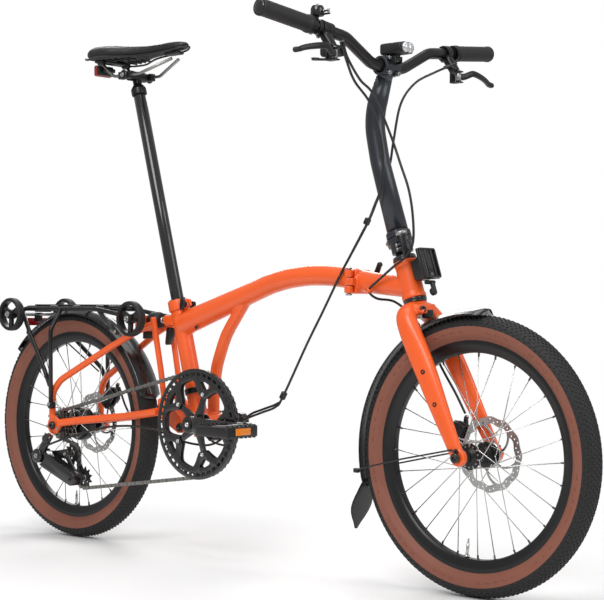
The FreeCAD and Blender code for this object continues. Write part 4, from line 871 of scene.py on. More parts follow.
def front_frame():
    """The short front tube brazed to the head tube, and the front half of the hinge."""
    low = steer_line(0.540)
    head = sweep("head_tube", [low, low + STEER_UP * HEAD_TOP], (21.5, 21.5), PAINT, 48)
    rings = [lathe("head_ring", [(20, 0), (23, 0), (23.2, 1), (23.2, 7), (22, 8.6), (20, 9)],
                   low + STEER_UP * (level * MM), STEER_UP, PAINT, 48) for level in (0, 66)]
    front = tube("front_tube", [(281, 0, 575.6), (316.4, 0, 570), steer_mm(562)], 20.5, PAINT, 200, 40)
    whole = melt("front_main_frame_looks", [head, *rings, front, *hinge_half(1)], 1.5, PAINT, rounds=5)
    place(whole, "front_frame", "front_main_frame", slot="frame_paint")
    bands = []
    for level, flip in ((0.0, -1), (75.0, 1)):
        profile = [(14.4, 0.3), (22.3, 0.3), (22.6, 1.2), (22.6, 4.6), (21.4, 5.2), (21.4, 6), (22, 6.6),
                   (21, 8.8),
                   (14.4, 8.8)]
        bands.append(lathe("bearing", profile, low + STEER_UP * (level * MM), STEER_UP * flip, GLOSS_METAL,
                           64))
    fit("headset_rings", bands, "front_frame", "black_metal")


def carrier():
    """The front luggage block: a flared bracket and a tall grooved plate, with its press lever below."""
    face = steer_line(0.585) + STEER_AHEAD * (21.5 * MM)
    axes = (STEER_AHEAD, Y, STEER_UP)

    def at_plate(ahead, side, height):
        return face + STEER_AHEAD * (ahead * MM) + Y * (side * MM) + STEER_UP * (height * MM)

    outline = [(0.5, -19.5), (8, -20), (16, -21), (26, -24), (32.5, -23), (33, 34), (27, 36), (24, 31),
               (17, 21),
               (8, 18.6), (0.5, 18.6)]
    pieces = [prism("bracket", outline, 33, face, STEER_AHEAD, STEER_UP, PLASTIC, bevel=2)]
    pieces.append(block("plate", (6, 50, 59), at_plate(27.5, 0, 6), PLASTIC, axes, 2.2))
    for side in (-22.5, -9, 9, 22.5):
        pieces.append(block("rail", (6, 3.2, 54), at_plate(32, side, 6), PLASTIC, axes, 1.2))
    for height in (-21, 33):
        pieces.append(block("rim_bar", (5.4, 46, 4), at_plate(32, 0, height), PLASTIC, axes, 1.4))
    tongue = [(-6.5, 16), (-5, -14), (0, -19), (5, -14), (6.5, 16)]
    pieces.append(prism("tongue", tongue, 4, at_plate(32, 0, 8), Y, STEER_UP, PLASTIC, bevel=1))
    for height in (-16, 28):
        pieces.append(bolt("carrier_bolt", line_mm(at_plate(30.6, 0, height)), STEER_AHEAD, 3.6, 2.2,
                           STEEL))
    fit("carrier_block", pieces, "front_frame", "black_plastic")
    at = joint_at("carrier_lever_press")
    pin = barrel("press_pin", line_mm(at), Y, 4, 26, PLASTIC)
    stem = block("press_stem", (7, 9, 20), at + Vector((8, 0, -9)) * MM, PLASTIC, axes, 2)
    pad = barrel("press_pad", line_mm(at + Vector((8, 0, -17)) * MM), STEER_AHEAD, 7.4, 8, PLASTIC,
                 edge=1.6)
    fit("carrier_lever", [pin, stem, pad], "carrier_lever", "black_plastic")


main_frame()
fittings()
collar()
hinge_lever()
front_frame()
carrier()


# ---------------------------------------------------------------- fork and what it carries
def fork():
    """Smooth crown flowing into two flattened, tapered blades with round dropouts."""
    low = steer_line(0.540)
    parts = [sweep("crown_neck", [low - STEER_UP * (9.5 * MM), low - STEER_UP * (26 * MM)], (20.5, 20.5),
                   PAINT, 40)]
    for side in (1, -1):
        rows = ((417, 9, 520, 19, 15), (418, 24, 517, 19, 17), (421, 38, 508, 21, 15),
                (431, 45.5, 490, 22, 12.5),
                (452, 48.5, 452, 21.5, 11.5), (478, 51, 405, 20.5, 11), (503, 53.5, 356, 19, 10),
                (528, 56, 308, 17, 8.6), (545, 57.5, 276, 15, 7.4), (553, 57.8, 260, 13.5, 7))
        path = spline([(x, side * y, z) for x, y, z, _, _ in rows], 4)
        deep = [row[3] for row in rows]
        wide = [row[4] for row in rows]

        def size(share, wide=wide, deep=deep):
            return between_rows(wide, share), between_rows(deep, share)

        parts.append(sweep("blade", path, size, PAINT, 28, towards=Y, power=2.3))
        parts.append(barrel("dropout", (555.6, side * 56.5, 256), Y, 15.5, 12.6, PAINT, edge=2))
    parts.append(block("crown_apron", (36, 62, 22), vec((424, 0, 517)), PAINT, (STEER_AHEAD, Y, STEER_UP),
                       6))
    whole = melt("fork_skin", parts, 1.5, PAINT, rounds=7)
    pieces = [whole, post("steerer", line_mm(low - STEER_UP * (8 * MM)), steer_mm(634), 14.2, STEEL)]
    for side in (1, -1):
        for x, z, y in ((478, 407, 62.4), (506, 349, 63.4)):
            outward = Vector((0.05, side, 0.06)).normalized()
            pieces.append(bolt("boss", (x, side * (y - 1.2), z), outward, 4.6, 2.8, BLACK_METAL))
    pieces.append(bolt("crown_bolt", (447, -22, 521), Vector((0.9, -0.35, 0.3)), 6.2, 3.4, BLACK_METAL))
    pieces.append(block("crown_tab", (18, 16, 8), vec((442, -20, 517)), PAINT, bevel=3))
    fit("fork", pieces, "fork", "frame_paint")


def arc_blade(name, hub, radius, start, stop, half_width, material, steps=48, end_round=16):
    """A mudguard: a crowned section swept round a wheel, with rounded ends and rolled edges."""
    section = []
    for i in range(17):
        across = -1 + i / 8
        drop = 1.0 - math.cos(across * 1.25)
        section.append((across, drop))
    verts, faces = [], []
    rows = steps + 1
    for layer in (0, 1):
        for i in range(rows):
            share = i / steps
            turn = math.radians(start + (stop - start) * share)
            run = share * math.radians(abs(stop - start)) * radius
            left = math.radians(abs(stop - start)) * radius - run
            near = min(run, left)
            narrow = 1.0
            if near < end_round:
                narrow = 0.45 + 0.55 * math.sqrt(max(0.0, 1 - (1 - near / end_round) ** 2))
            for across, drop in section:
                reach = radius - drop * (half_width * 0.62) - (1.6 if layer else 0)
                if abs(across) > 0.95:
                    reach += 0.8
                y = across * (half_width - (1.2 if layer else 0)) * narrow
                verts.append(hub + Vector((reach * math.cos(turn), y, reach * math.sin(turn))) * MM)
    width = len(section)
    half = rows * width
    for i in range(rows - 1):
        for k in range(width - 1):
            a, b, c, d = i * width + k, i * width + k + 1, (i + 1) * width + k + 1, (i + 1) * width + k
            faces.append((a, b, c, d))
            faces.append((half + d, half + c, half + b, half + a))
    for i in range(rows - 1):
        for k in (0, width - 1):
            a, d = i * width + k, (i + 1) * width + k
            faces.append((a, d, half + d, half + a) if k == 0 else (d, a, half + a, half + d))
    for i in (0, rows - 1):
        for k in range(width - 1):
            a, b = i * width + k, i * width + k + 1
            faces.append((b, a, half + a, half + b) if i == 0 else (a, b, half + b, half + a))
    return recalc(new_piece(name, verts, faces, material))


FRONT_GUARD_RADIUS = 267.5


def front_mudguard():
    """The front blade with its flap, wire stays, bracket and rivets."""
    blade = arc_blade("guard_blade", FRONT_HUB, FRONT_GUARD_RADIUS, 84.5, 197, 29.5, GLOSS)
    pieces = [blade]
    rows = ((299, 196, 12), (296, 186, 18), (292, 171, 23), (287, 155, 27.5), (282, 139, 30.5),
            (277.5, 124, 31),
            (274, 112, 27), (271.5, 104, 20), (270.5, 100, 11), (270, 98, 4))
    path = spline([(x, 0, z) for x, z, _ in rows], 4)

    widths = [row[2] for row in rows]
    pieces.append(sweep("flap", path, lambda s: (1.5, between_rows(widths, s)), PLASTIC, 20, towards=X,
                        power=2.6))
    for side in (1, -1):
        pieces.append(tube("stay", [(556, side * 67.5, 268), (545, side * 67.4, 270), (430, side * 62, 246),
                                    (306, side * 36, 217), (292, side * 30.5, 213)], 1.6, BLACK_METAL, 14,
                                    10))
        pieces.append(barrel("stay_eye", (556, side * 66.4, 268), Y, 4.4, 3.0, BLACK_METAL, bore=2.0,
                             edge=0.5))
        pieces.append(block("stay_clip", (12, 8, 9), vec((294, side * 28, 213)), PLASTIC, bevel=2))
    pieces.append(tube("stay_bend", [(291, 30.5, 213), (288, 18, 212.5), (288, -18, 212.5),
                                     (291, -30.5, 213)],
                       1.6, BLACK_METAL, 8, 10))
    pieces.append(block("guard_bracket", (9, 26, 16), vec((441, 0, 512)), BLACK_METAL, bevel=2))
    for height in (186, 213):
        reach = math.sqrt(FRONT_GUARD_RADIUS ** 2 - (FRONT_HUB.z / MM - height) ** 2)
        pieces.append(bolt("guard_rivet", (FRONT_HUB.x / MM - reach + 0.5, 0, height), -X, 3.4, 1.8, SILVER,
                           socket=False))
    fit("front_mudguard", pieces, "fork", "gloss_black")


def caliper(name, at, lean, body, node):
    """A cable disc brake: a ribbed body round the disc, its pad adjuster, bolts and arm."""
    turn = math.radians(lean)
    along = wheel_way(turn)
    out = Vector((-math.sin(turn), 0, math.cos(turn)))
    axes = (along, Y, out)
    pieces = [block("body_out", (44, 11, 30), at + Y * (8 * MM), BLACK_METAL, axes, 4),
              block("body_in", (44, 9, 30), at - Y * (8.5 * MM), BLACK_METAL, axes, 4),
              block("bridge", (44, 14, 9), at + out * (11 * MM) - Y * MM, BLACK_METAL, axes, 3)]
    cup = lathe("cup", rounded_profile([(0.2, 0), (12, 0), (12, 6), (9, 9), (3, 9), (3, 7), (0.2, 7)], 0.7),
                at
                + Y * (13 * MM), Y, GLOSS_METAL, 40)
    pieces.append(cup)
    for i in range(6):
        spin = math.pi * i / 3
        way = along * math.cos(spin) + out * math.sin(spin)
        pieces.append(block("cup_rib", (3, 7, 2.2), at + Y * (17 * MM) + way * (11.4 * MM), BLACK_METAL,
                            (way, Y, way.cross(Y)), 0.6))
    path = [at + Y * (23 * MM), at + Y * (23.5 * MM) + Z * (14 * MM) + X * (-2 * MM), at + Y * (22 * MM)
            + Z * (31 * MM)]
    pieces.append(sweep("arm", path, lambda s: (2.4, 7.5 - 3 * s), BLACK_METAL, 14, towards=Y, power=3))
    pieces.append(lathe("arm_bolt", [(0, 0), (4.4, 0), (4.4, 3), (3.4, 4), (0, 4)], at + Y * (22 * MM)
                        + Z * (30 * MM), Y, STEEL, 24, closed=False))
    for end in (-1, 1):
        pieces.append(lathe("mount_bolt", [(0, 0), (4.6, 0), (4.6, 3), (3.6, 4), (2.2, 4), (2, 2), (0, 2)],
                            at + along * (end * 17 * MM) + out * (14 * MM), out, STEEL, 20, closed=False))
    place(join(name + "_looks", pieces), body, node, slot="black_metal")


def stem_base():
    """The steerer clamp with pinch bolts, and the lower half of the post's hinge."""
    at = steer_line(0.655)
    pin_way = (Y - STEER_AHEAD).normalized()
    pin_line = STEER_UP.cross(pin_way)
    axes = (pin_way, pin_line, STEER_UP)

    def spot(x, y, z):
        return at + pin_way * (x * MM) + pin_line * (y * MM) + STEER_UP * (z * MM)

    sleeve = lathe("sleeve", rounded_profile([(14.5, -30), (20.5, -30), (20.5, -12.5), (23.5, -11.5),
                                              (24, -0.6),
                                              (14.5, -0.6)], 1.2), at, STEER_UP, POST_PAINT, 64)
    pieces = [sleeve]
    for start, stop in ((-21, -8.2), (8.2, 21)):
        middle = (start + stop) / 2
        pieces.append(lathe("knuckle", rounded_profile([(3.1, start), (6.8, start), (6.8, stop),
                                                        (3.1, stop)], 0.9),
                            spot(29, 0, 0), pin_line, POST_PAINT, 36))
        pieces.append(block("web", (17, stop - start, 11.6), spot(19, middle, -6.6), POST_PAINT, axes, 1.4))
    pieces.append(lathe("pin", [(0, -23.5), (2.9, -23.5), (2.9, 23.5), (0, 23.5)], spot(29, 0, 0), pin_line,
                        STEEL, 24,
                        closed=False))
    for level in (-26, -18):
        pieces.append(block("pinch_ear", (9, 20, 6.5), spot(-22.5, 0, level), POST_PAINT, axes, 2))
        pieces.append(lathe("pinch", [(0, 0), (4, 0), (4, 3), (3, 4), (1.8, 4), (1.7, 2), (0, 2)],
                            spot(-22.5, 10, level), pin_line, STEEL, 20, closed=False))
    fit("stem_base", pieces, "fork", "post_paint")
    jaw = block("jaw", (8, 22, 13), spot(-32.5, 0, 0), BLACK_METAL, axes, 2.4)
    pivot = lathe("jaw_pin", [(0, -10.5), (4.6, -10.5), (4.6, 10.5), (0, 10.5)], spot(-39.5, 0, 0),
                  pin_line, STEEL, 28,
                  closed=False)
    path = [spot(-39.5, 0, 6), spot(-40, 0, -8), spot(-40.5, 0, -26), spot(-38.5, 0, -48)]
    blade = sweep("jaw_blade", path, lambda s: (3.3, 7.6 - 1.8 * s), BLACK_METAL, 16, towards=pin_way,
                  power=3)
    fit("stem_lever", [jaw, pivot, blade], "stem_lever", "black_metal")
    upper = lathe("flange", rounded_profile([(8, 0.6), (24, 0.6), (23.5, 11.5), (20.4, 13), (8, 13)], 1.2),
                  at, STEER_UP,
                  POST_PAINT, 64)
    tongue = lathe("tongue", rounded_profile([(3.1, -7.6), (6.8, -7.6), (6.8, 7.6), (3.1, 7.6)], 0.9),
                   spot(29, 0, 0), pin_line, POST_PAINT, 36)
    web = block("tongue_web", (17, 15, 11.6), spot(19, 0, 6.6), POST_PAINT, axes, 1.4)
    return [upper, tongue, web]


def handlepost(foot_parts):
    """The bent post: a round foot on the hinge, a slight S in the middle and a neck under the bar."""
    start = line_mm(steer_line(0.655) + STEER_UP * (8 * MM))
    path = bent([start, steer_mm(800), (308, 0, 885), (334.4, 0, 962)], 160, 5)

    def size(share):
        foot = max(0.0, 1 - share / 0.10)
        neck = max(0.0, (share - 0.86) / 0.14)
        return (19 + 1.6 * foot ** 2 - 3.0 * neck, 19 + 1.6 * foot ** 2 - 3.0 * neck)

    pieces = [sweep("post_tube", path, size, POST_PAINT, 48), *foot_parts]
    fit("handlepost", pieces, "handlepost", "post_paint")


fork()
front_mudguard()
caliper("front_caliper", FRONT_HUB + Vector((-72, 42, 33)) * MM, 70, "fork", "front_caliper")
caliper("rear_caliper", REAR_HUB + Vector((44, 55.5, 58)) * MM, 50, "rear_frame", "rear_caliper")
handlepost(stem_base())


# ---------------------------------------------------------------- bars, grips and controls
BAR_CLAMP = (340.4, 0, 982)
PERCH_PLACE, BELL_PLACE = 156, 143
BAR_POINTS = (BAR_CLAMP, (340.4, 45, 982), (342.4, 125, 1022), (331.4, 340, 1048))


def grip_line(distance, side):
    """A point of a grip's line in millimetres, measured in from the bar's end."""
    tip, root = Vector(BAR_POINTS[3]), Vector(BAR_POINTS[2])
    at = tip + (root - tip).normalized() * distance
    return Vector((at.x, side * at.y, at.z))


def grip_way(side):
    return (grip_line(0, side) - grip_line(50, side)).normalized()


def handlebar():
    """The riser bar: round, and swollen at the clamp in its middle."""
    path = []
    for side in (-1, 1):
        half = bent([(x, side * y, z) for x, y, z in BAR_POINTS], 55, 6)
        path = path[::-1] + half[1:] if path else half

    def size(share):
        near = max(0.0, 1 - abs(share - 0.5) / 0.05)
        swell = 11.1 + 1.3 * min(1.0, near * 1.6)
        return (swell, swell)

    bar = sweep("handlebar_looks", path, size, BLACK_METAL, 32)
    place(bar, "handlepost", "handlebar", slot="black_metal")


def grips():
    """Ribbed rubber grips with end plugs and a clamp ring at the inner end."""
    pieces = []
    for side in (1, -1):
        profile = [(11.3, 0), (13, 3), (15.9, 2.4), (16.4, 0.6), (16.2, -3)]
        profile += [(15.5 - 0.5 * (k % 2), -6 - 3.4 * k) for k in range(31)]
        profile += [(15.2, -113), (16.8, -116), (17, -121), (11.4, -121)]
        pieces.append(lathe("grip", profile, vec(grip_line(0, side)), grip_way(side), GRIP, 40))
        ring = rounded_profile([(11.4, -131), (16.4, -131), (16.4, -122), (11.4, -122)], 1.2)
        pieces.append(lathe("ring", ring, vec(grip_line(0, side)), grip_way(side), BLACK_METAL, 40))
        plug = [(0, 5), (8, 5), (11, 4), (12.6, 2.6), (12.6, 0.5), (0, 0.5)]
        pieces.append(lathe("plug", plug, vec(grip_line(0, side)), grip_way(side), GLOSS_METAL, 32,
                            closed=False))
        pieces.append(bolt("ring_bolt", grip_line(126.5, side) + Vector((0, 0, -15)), -Z, 3, 2.6, STEEL))
    fit("grips", pieces, "handlepost", "grip_rubber")


def clamp():
    """The two-bolt bar clamp, its faceplate and the lamp bracket."""
    at = vec(BAR_CLAMP)
    body = lathe("clamp_body", rounded_profile([(12.6, -22), (18.6, -22), (18.6, 22), (12.6, 22)], 1.8), at,
                 Y,
                 POST_PAINT, 56)
    pieces = [body, post("neck", (334.4, 0, 958), (339.4, 0, 974), 15.2, POST_PAINT)]
    for side in (-1, 1):
        for level in (-1, 1):
            pieces.append(block("lug", (13, 13, 8), at + Vector((11, side * 14, level * 14)) * MM,
                                POST_PAINT, bevel=2.4))
            pieces.append(bolt("lug_bolt", (BAR_CLAMP[0] + 17, side * 14, BAR_CLAMP[2] + level * 14), X,
                               4.2, 4, STEEL))
    for side in (-9.4, 9.4):
        pieces.append(block("lamp_ear", (17.6, 3.6, 13.6), at + Vector((21, side, 10)) * MM, BLACK_METAL,
                            bevel=1.2))
    pieces.append(block("lamp_bridge", (4, 22, 14), at + Vector((14.4, 0, 7)) * MM, BLACK_METAL, bevel=1.2))
    fit("bar_clamp", pieces, "handlepost", "black_metal")


def headlight():
    """A small box lamp: rounded body with cooling grooves, faceted lens, switch and strap foot."""
    at = vec((BAR_CLAMP[0] + 26, 0, BAR_CLAMP[2] + 31))
    body = [(-17, -6), (-15.6, -10), (-11, -11), (11, -11), (15.6, -10), (17, -6), (17, 6), (15.6, 10),
            (11, 11),
            (-11, 11), (-15.6, 10), (-17, 6)]
    pieces = [soften(prism("lamp_body", body, 50, at + X * (-5 * MM), Y, Z, PLASTIC), 2.4, 3)]
    for k in range(4):
        band = [(across * 1.012, up * 1.012) for across, up in body]
        pieces.append(prism("lamp_band", band, 2.4, at + X * ((-24 + 5.5 * k) * MM), Y, Z, PLASTIC,
                            bevel=0.5))
    bezel = [(across * 0.98, up * 0.98) for across, up in body]
    pieces.append(prism("lamp_bezel", bezel, 5, at + X * (21.4 * MM), Y, Z, GLOSS, bevel=1))
    facets = [(0, 30.4), (4.5, 30), (8.6, 28.4), (9.6, 24), (9.6, 20), (0, 20)]
    for side in (-1, 1):
        pieces.append(lathe("lamp_lens", facets, at + Y * (side * 6 * MM), X, CLEAR, 10, closed=False))
    pieces.append(block("lamp_window", (6, 26, 15), at + X * (24 * MM), CLEAR, bevel=2.4))
    pieces.append(block("lamp_switch", (10, 9, 2.4), at + Vector((2, 0, 11.4)) * MM, GLOSS, bevel=1))
    pivot = joint_at("headlight_tilt")
    pieces.append(barrel("lamp_pivot", line_mm(pivot), Y, 5.8, 14, BLACK_METAL))
    pieces.append(block("lamp_foot", (10, 13, 11), pivot + Z * (5 * MM), PLASTIC, bevel=2))
    fit("headlight", pieces, "headlight", "black_plastic")


def control_clamps():
    """Brake perches that hang down ahead of the bar, their cable adjusters, and the gear pod."""
    pieces = []
    lean = math.radians(57)
    axes = (Vector((math.cos(lean), 0, -math.sin(lean))), Y, Vector((math.sin(lean), 0, math.cos(lean))))
    for side in (1, -1):
        at = grip_line(PERCH_PLACE, side)
        ring = rounded_profile([(11.4, -7), (15.8, -7), (15.8, 7), (11.4, 7)], 1.2)
        pieces.append(lathe("perch_ring", ring, vec(at), grip_way(side), BLACK_METAL, 40))
        pieces.append(bolt("perch_bolt", at + Vector((-8, side * 2, -13.5)), Vector((-0.4, 0, -1)), 3.4, 3,
                           STEEL))
        path = [vec(at + axes[0] * along) for along in (11, 20, 30, 40, 47)]
        pieces.append(sweep("perch_arm", path, lambda s: (11.2 - 2.2 * s, 9.2), BLACK_METAL, 24,
                            towards=Y, power=3))
        pivot = joint_at("brake_lever_left_pull" if side > 0 else "brake_lever_right_pull")
        for level in (-1, 1):
            pieces.append(block("perch_fork", (24, 15, 3), pivot + Vector((-5, 0, level * 10.4)) * MM,
                                BLACK_METAL,
                                bevel=1.2))
        pieces.append(block("perch_web", (5, 15, 22), pivot + Vector((-14.6, 0, 0)) * MM, BLACK_METAL,
                            bevel=1.6))
        pieces.append(bolt("perch_pin", line_mm(pivot + Z * (11.8 * MM)), Z, 4, 1.8, STEEL))
        inward = Vector((-0.2, -side, -0.28)).normalized()
        start = vec(at + Vector((17, -side * 6, -27)))
        stepped = [(0, 0), (3.2, 0), (4.6, 1), (4.6, 9), (3.4, 10), (3.4, 15), (2.6, 16), (0, 16)]
        pieces.append(lathe("adjuster", stepped, start, inward, BLACK_METAL, 20, closed=False))
    ring = rounded_profile([(11.4, -6), (15.4, -6), (15.4, 6), (11.4, 6)], 1)
    pieces.append(lathe("pod_ring", ring, vec(grip_line(170, -1)), grip_way(-1), BLACK_METAL, 36))
    pod = grip_line(PERCH_PLACE, -1) + Vector((2, 23, -44))
    pieces.append(block("pod_neck", (12, 12, 20), vec(pod + Vector((-2, -6, 20))), PLASTIC, bevel=2))
    pieces.append(block("pod", (42, 30, 21), vec(pod + Vector((3, 0, 5.2))), PLASTIC, bevel=7))
    pieces.append(block("pod_window", (16, 12, 2), vec(pod + Vector((6, 3, 15.6))), GLOSS, bevel=0.9))
    pieces.append(barrel("pod_adjuster", pod + Vector((14, 16, 2)), Vector((0.3, 1, -0.2)), 4.2, 10,
                         BLACK_METAL))
    fit("lever_mounts", pieces, "handlepost", "black_metal")
    pivot = joint_at("shifter_lever_press")
    hub_part = barrel("thumb_hub", line_mm(pivot), Z, 7, 5, PLASTIC)
    path = [pivot, pivot + Vector((-9, -14, -1)) * MM, pivot + Vector((-15, -24, -1.4)) * MM,
            pivot + Vector((-19, -31, -1.4)) * MM]
    thumb = sweep("thumb", path, lambda s: (5 + 3.4 * s, 2.2), PLASTIC, 16, towards=X, power=2.6)
    ribs = [block("thumb_rib", (9, 1.4, 2), path[2].lerp(path[3], k / 2) + Z * (2.2 * MM), GRIP, bevel=0.5)
            for k in range(3)]
    fit("shifter_lever", [hub_part, thumb, *ribs], "shifter_lever", "black_plastic")


def brake_levers():
    """Both brake levers: a pivot pin, a dog-legged blade and a ball end."""
    for name, side in (("left", 1), ("right", -1)):
        pivot = joint_at(f"brake_lever_{name}_pull")
        pin = lathe("pin", [(0, -8.4), (4.6, -8.4), (5.8, -7.4), (5.8, 7.4), (4.6, 8.4), (0, 8.4)], pivot,
                    Z, STEEL, 28,
                    closed=False)
        path = spline([line_mm(pivot + Vector((x, side * y, z)) * MM)
                       for x, y, z in ((0, 0, 0), (4, 12, 1), (8, 25, 6), (10, 36, 9), (9, 60, 6),
                                       (5, 84, 1),
                                       (2, 99, -4), (3, 108, -6))], 6)

        def size(share):
            hook = 1.0 if share > 0.93 else 0.0
            return (5.2 - 1.2 * math.sin(math.pi * share) + 0.8 * hook, 5.0 + 1.8 * (1 - share))

        blade = sweep("blade", path, size, BLACK_METAL, 22, towards=X, power=2.8)
        ball = lathe("tip", [(0, -4.6), (3.4, -4.2), (5.2, -2), (5.2, 2), (3.4, 4.2), (0, 4.6)], path[-1],
                     Z, BLACK_METAL,
                     24, closed=False)
        place(join(f"brake_lever_{name}_looks", [pin, blade, ball]), f"brake_lever_{name}",
              f"brake_lever_{name}",
              slot="black_metal")


def bell():
    """A small domed bell standing on the bar, on its band and post, with the sprung striker beside it."""
    at = grip_line(BELL_PLACE, -1)
    ring = rounded_profile([(11.4, -5), (14, -5), (14, 5), (11.4, 5)], 0.9)
    dome = [(0, 41), (6, 40.6), (10, 38.4), (12.2, 34.6), (12.6, 29), (12.6, 21), (12, 20), (11, 20.4),
            (11, 29),
            (10, 34), (6, 38), (0, 38.8)]
    pieces = [lathe("bell_ring", ring, vec(at), grip_way(-1), BLACK_METAL, 36),
              lathe("bell_dome", dome, vec(at), Z, GLOSS_METAL, 64, closed=False),
              barrel("bell_post", at + Vector((0, 0, 25)), Z, 3, 26, BLACK_METAL),
              block("bell_arm", (28, 5, 3), vec(at + Vector((16, 0, 21.5))), BLACK_METAL, bevel=1),
              bolt("bell_cap", at + Vector((0, 0, 40.6)), Z, 3, 1.4, GLOSS_METAL, socket=False)]
    fit("bell", pieces, "handlepost", "black_metal")
    pivot = joint_at("bell_striker_flick")
    arm = block("striker_arm", (13, 4.4, 2.6), pivot + X * (-4.6 * MM), BLACK_METAL, bevel=0.9)
    head = lathe("striker_head", [(0, -2.4), (2.2, -2), (2.8, 0), (2.2, 2), (0, 2.4)],
                 pivot + X * (-10.6 * MM), X,
                 STEEL, 20, closed=False)
    pin = lathe("striker_pin", [(0, -3), (2.4, -3), (2.4, 3), (0, 3)], pivot, Z, STEEL, 20, closed=False)
    fit("bell_striker", [arm, head, pin], "bell_striker", "black_metal")


handlebar()
grips()
clamp()
headlight()
control_clamps()
brake_levers()
bell()


# ---------------------------------------------------------------- rear triangle, rack and rollers
def rear_frame():
    """Chainstays, seatstays, uprights, bridges, dropouts and pivot lugs as one skin."""
    drop = 71.2
    parts = []
    for side in (1, -1):
        parts.append(sweep("chainstay", bent([(-540, side * drop, 261.5), (-480, side * 62, 270),
                                              (-350, side * 38.5, 284), (-252, side * 37, 299)], 60),
                           lambda s: (8.8, 6.4 + 3.0 * s), PAINT, 24, towards=Z))
        parts.append(tube("seatstay", [(-562, side * drop, 272), (-562, side * drop, 330),
                                       (-540, side * 66, 358),
                                       (-400, side * 46, 432), (-330, side * 34, 467),
                                       (-280, side * 26, 486)],
                          7.5, PAINT, 50, 24))
        parts.append(tube("upright", [(-280, side * 26, 500), (-270, side * 25, 450),
                                      (-256, side * 24.5, 385),
                                      (-246, side * 25, 330), (-244, side * 26, 297)], 6.5, PAINT, 120, 24))
        parts.append(barrel("dropout", (-555.6, side * drop, 256), Y, 20.5, 7.4, PAINT, edge=1.6))
        outline = [(-262, 288), (-262, 326), (-240, 330), (-182, 281), (-178, 268), (-184, 257),
                   (-200, 256)]
        parts.append(prism("lug", outline, 9, vec((0, side * 24.9, 0)), X, Z, PAINT, bevel=1.5))
        parts.append(block("bridge_end", (10, 30, 36), vec((-318, side * 26, 487)), PAINT, bevel=3))
    parts.append(block("bridge", (10, 66, 34), vec((-318, 0, 487)), PAINT, bevel=3))
    parts.append(tube("cross", [(-250, -25, 330), (-250, 25, 330)], 6, PAINT, 10, 20))
    skin = melt("rear_frame_skin", parts, 1.6, PAINT, rounds=5)
    pieces = [skin]
    for side in (1, -1):
        for x, z in ((-567, 276), (-540, 249), (-574, 253)):
            pieces.append(bolt("drop_bolt", (x, side * 75.2, z), Y * side, 3.4, 2, STEEL))
        pieces.append(bolt("lug_bolt", (-262, side * 30, 308), Y * side, 4.6, 2.4, BLACK_METAL))
    fit("rear_frame", pieces, "rear_frame", "frame_paint")


def spring_block():
    """The rubber spring between the rear triangle and the seat tube, with its bolt and washers."""
    at = vec((-323, 0, 494))
    rubber = [(0.2, 11), (16.5, 11), (17.6, 14), (17.2, 18), (18, 23), (17.2, 27), (18, 32), (17.6, 36),
              (14.4, 42.6),
              (6, 44), (0.2, 44)]
    pieces = [lathe("rubber", rubber, at, X, GRIP, 56)]
    pieces.append(lathe("washer", [(0.2, 43.4), (7, 43.4), (7, 45), (6, 47.6), (0.2, 47.6)], at, X, SILVER,
                        32))
    pieces.append(lathe("core", [(0.2, -12), (3.9, -12), (3.9, 12), (0.2, 12)], at, X, STEEL, 24))
    pieces.append(lathe("nut", [(0.2, -12), (6.6, -12), (6.6, -5.4), (0.2, -5.4)], at, X, STEEL, 6))
    fit("elastomer", pieces, "rear_frame", "grip_rubber")
    pivot = joint_at("rear_latch_swing")
    hub_part = barrel("latch_hub", line_mm(pivot), Y, 5.2, 16, BLACK_METAL)
    outline = [(-6, 4), (-3, 6.6), (3, 6.6), (7, 3), (8, -12), (3, -22), (-2, -30), (-7, -31.5), (-10, -28),
               (-8, -14)]
    hook = prism("latch_hook", outline, 13.6, pivot, X, Z, PLASTIC, bevel=1.4)
    fit("rear_latch", [hub_part, hook], "rear_latch", "black_metal")


RACK_DECK = 517
ROLLER_AXLES = {"rear": (-700.6, 504), "front": (-291.6, 497)}


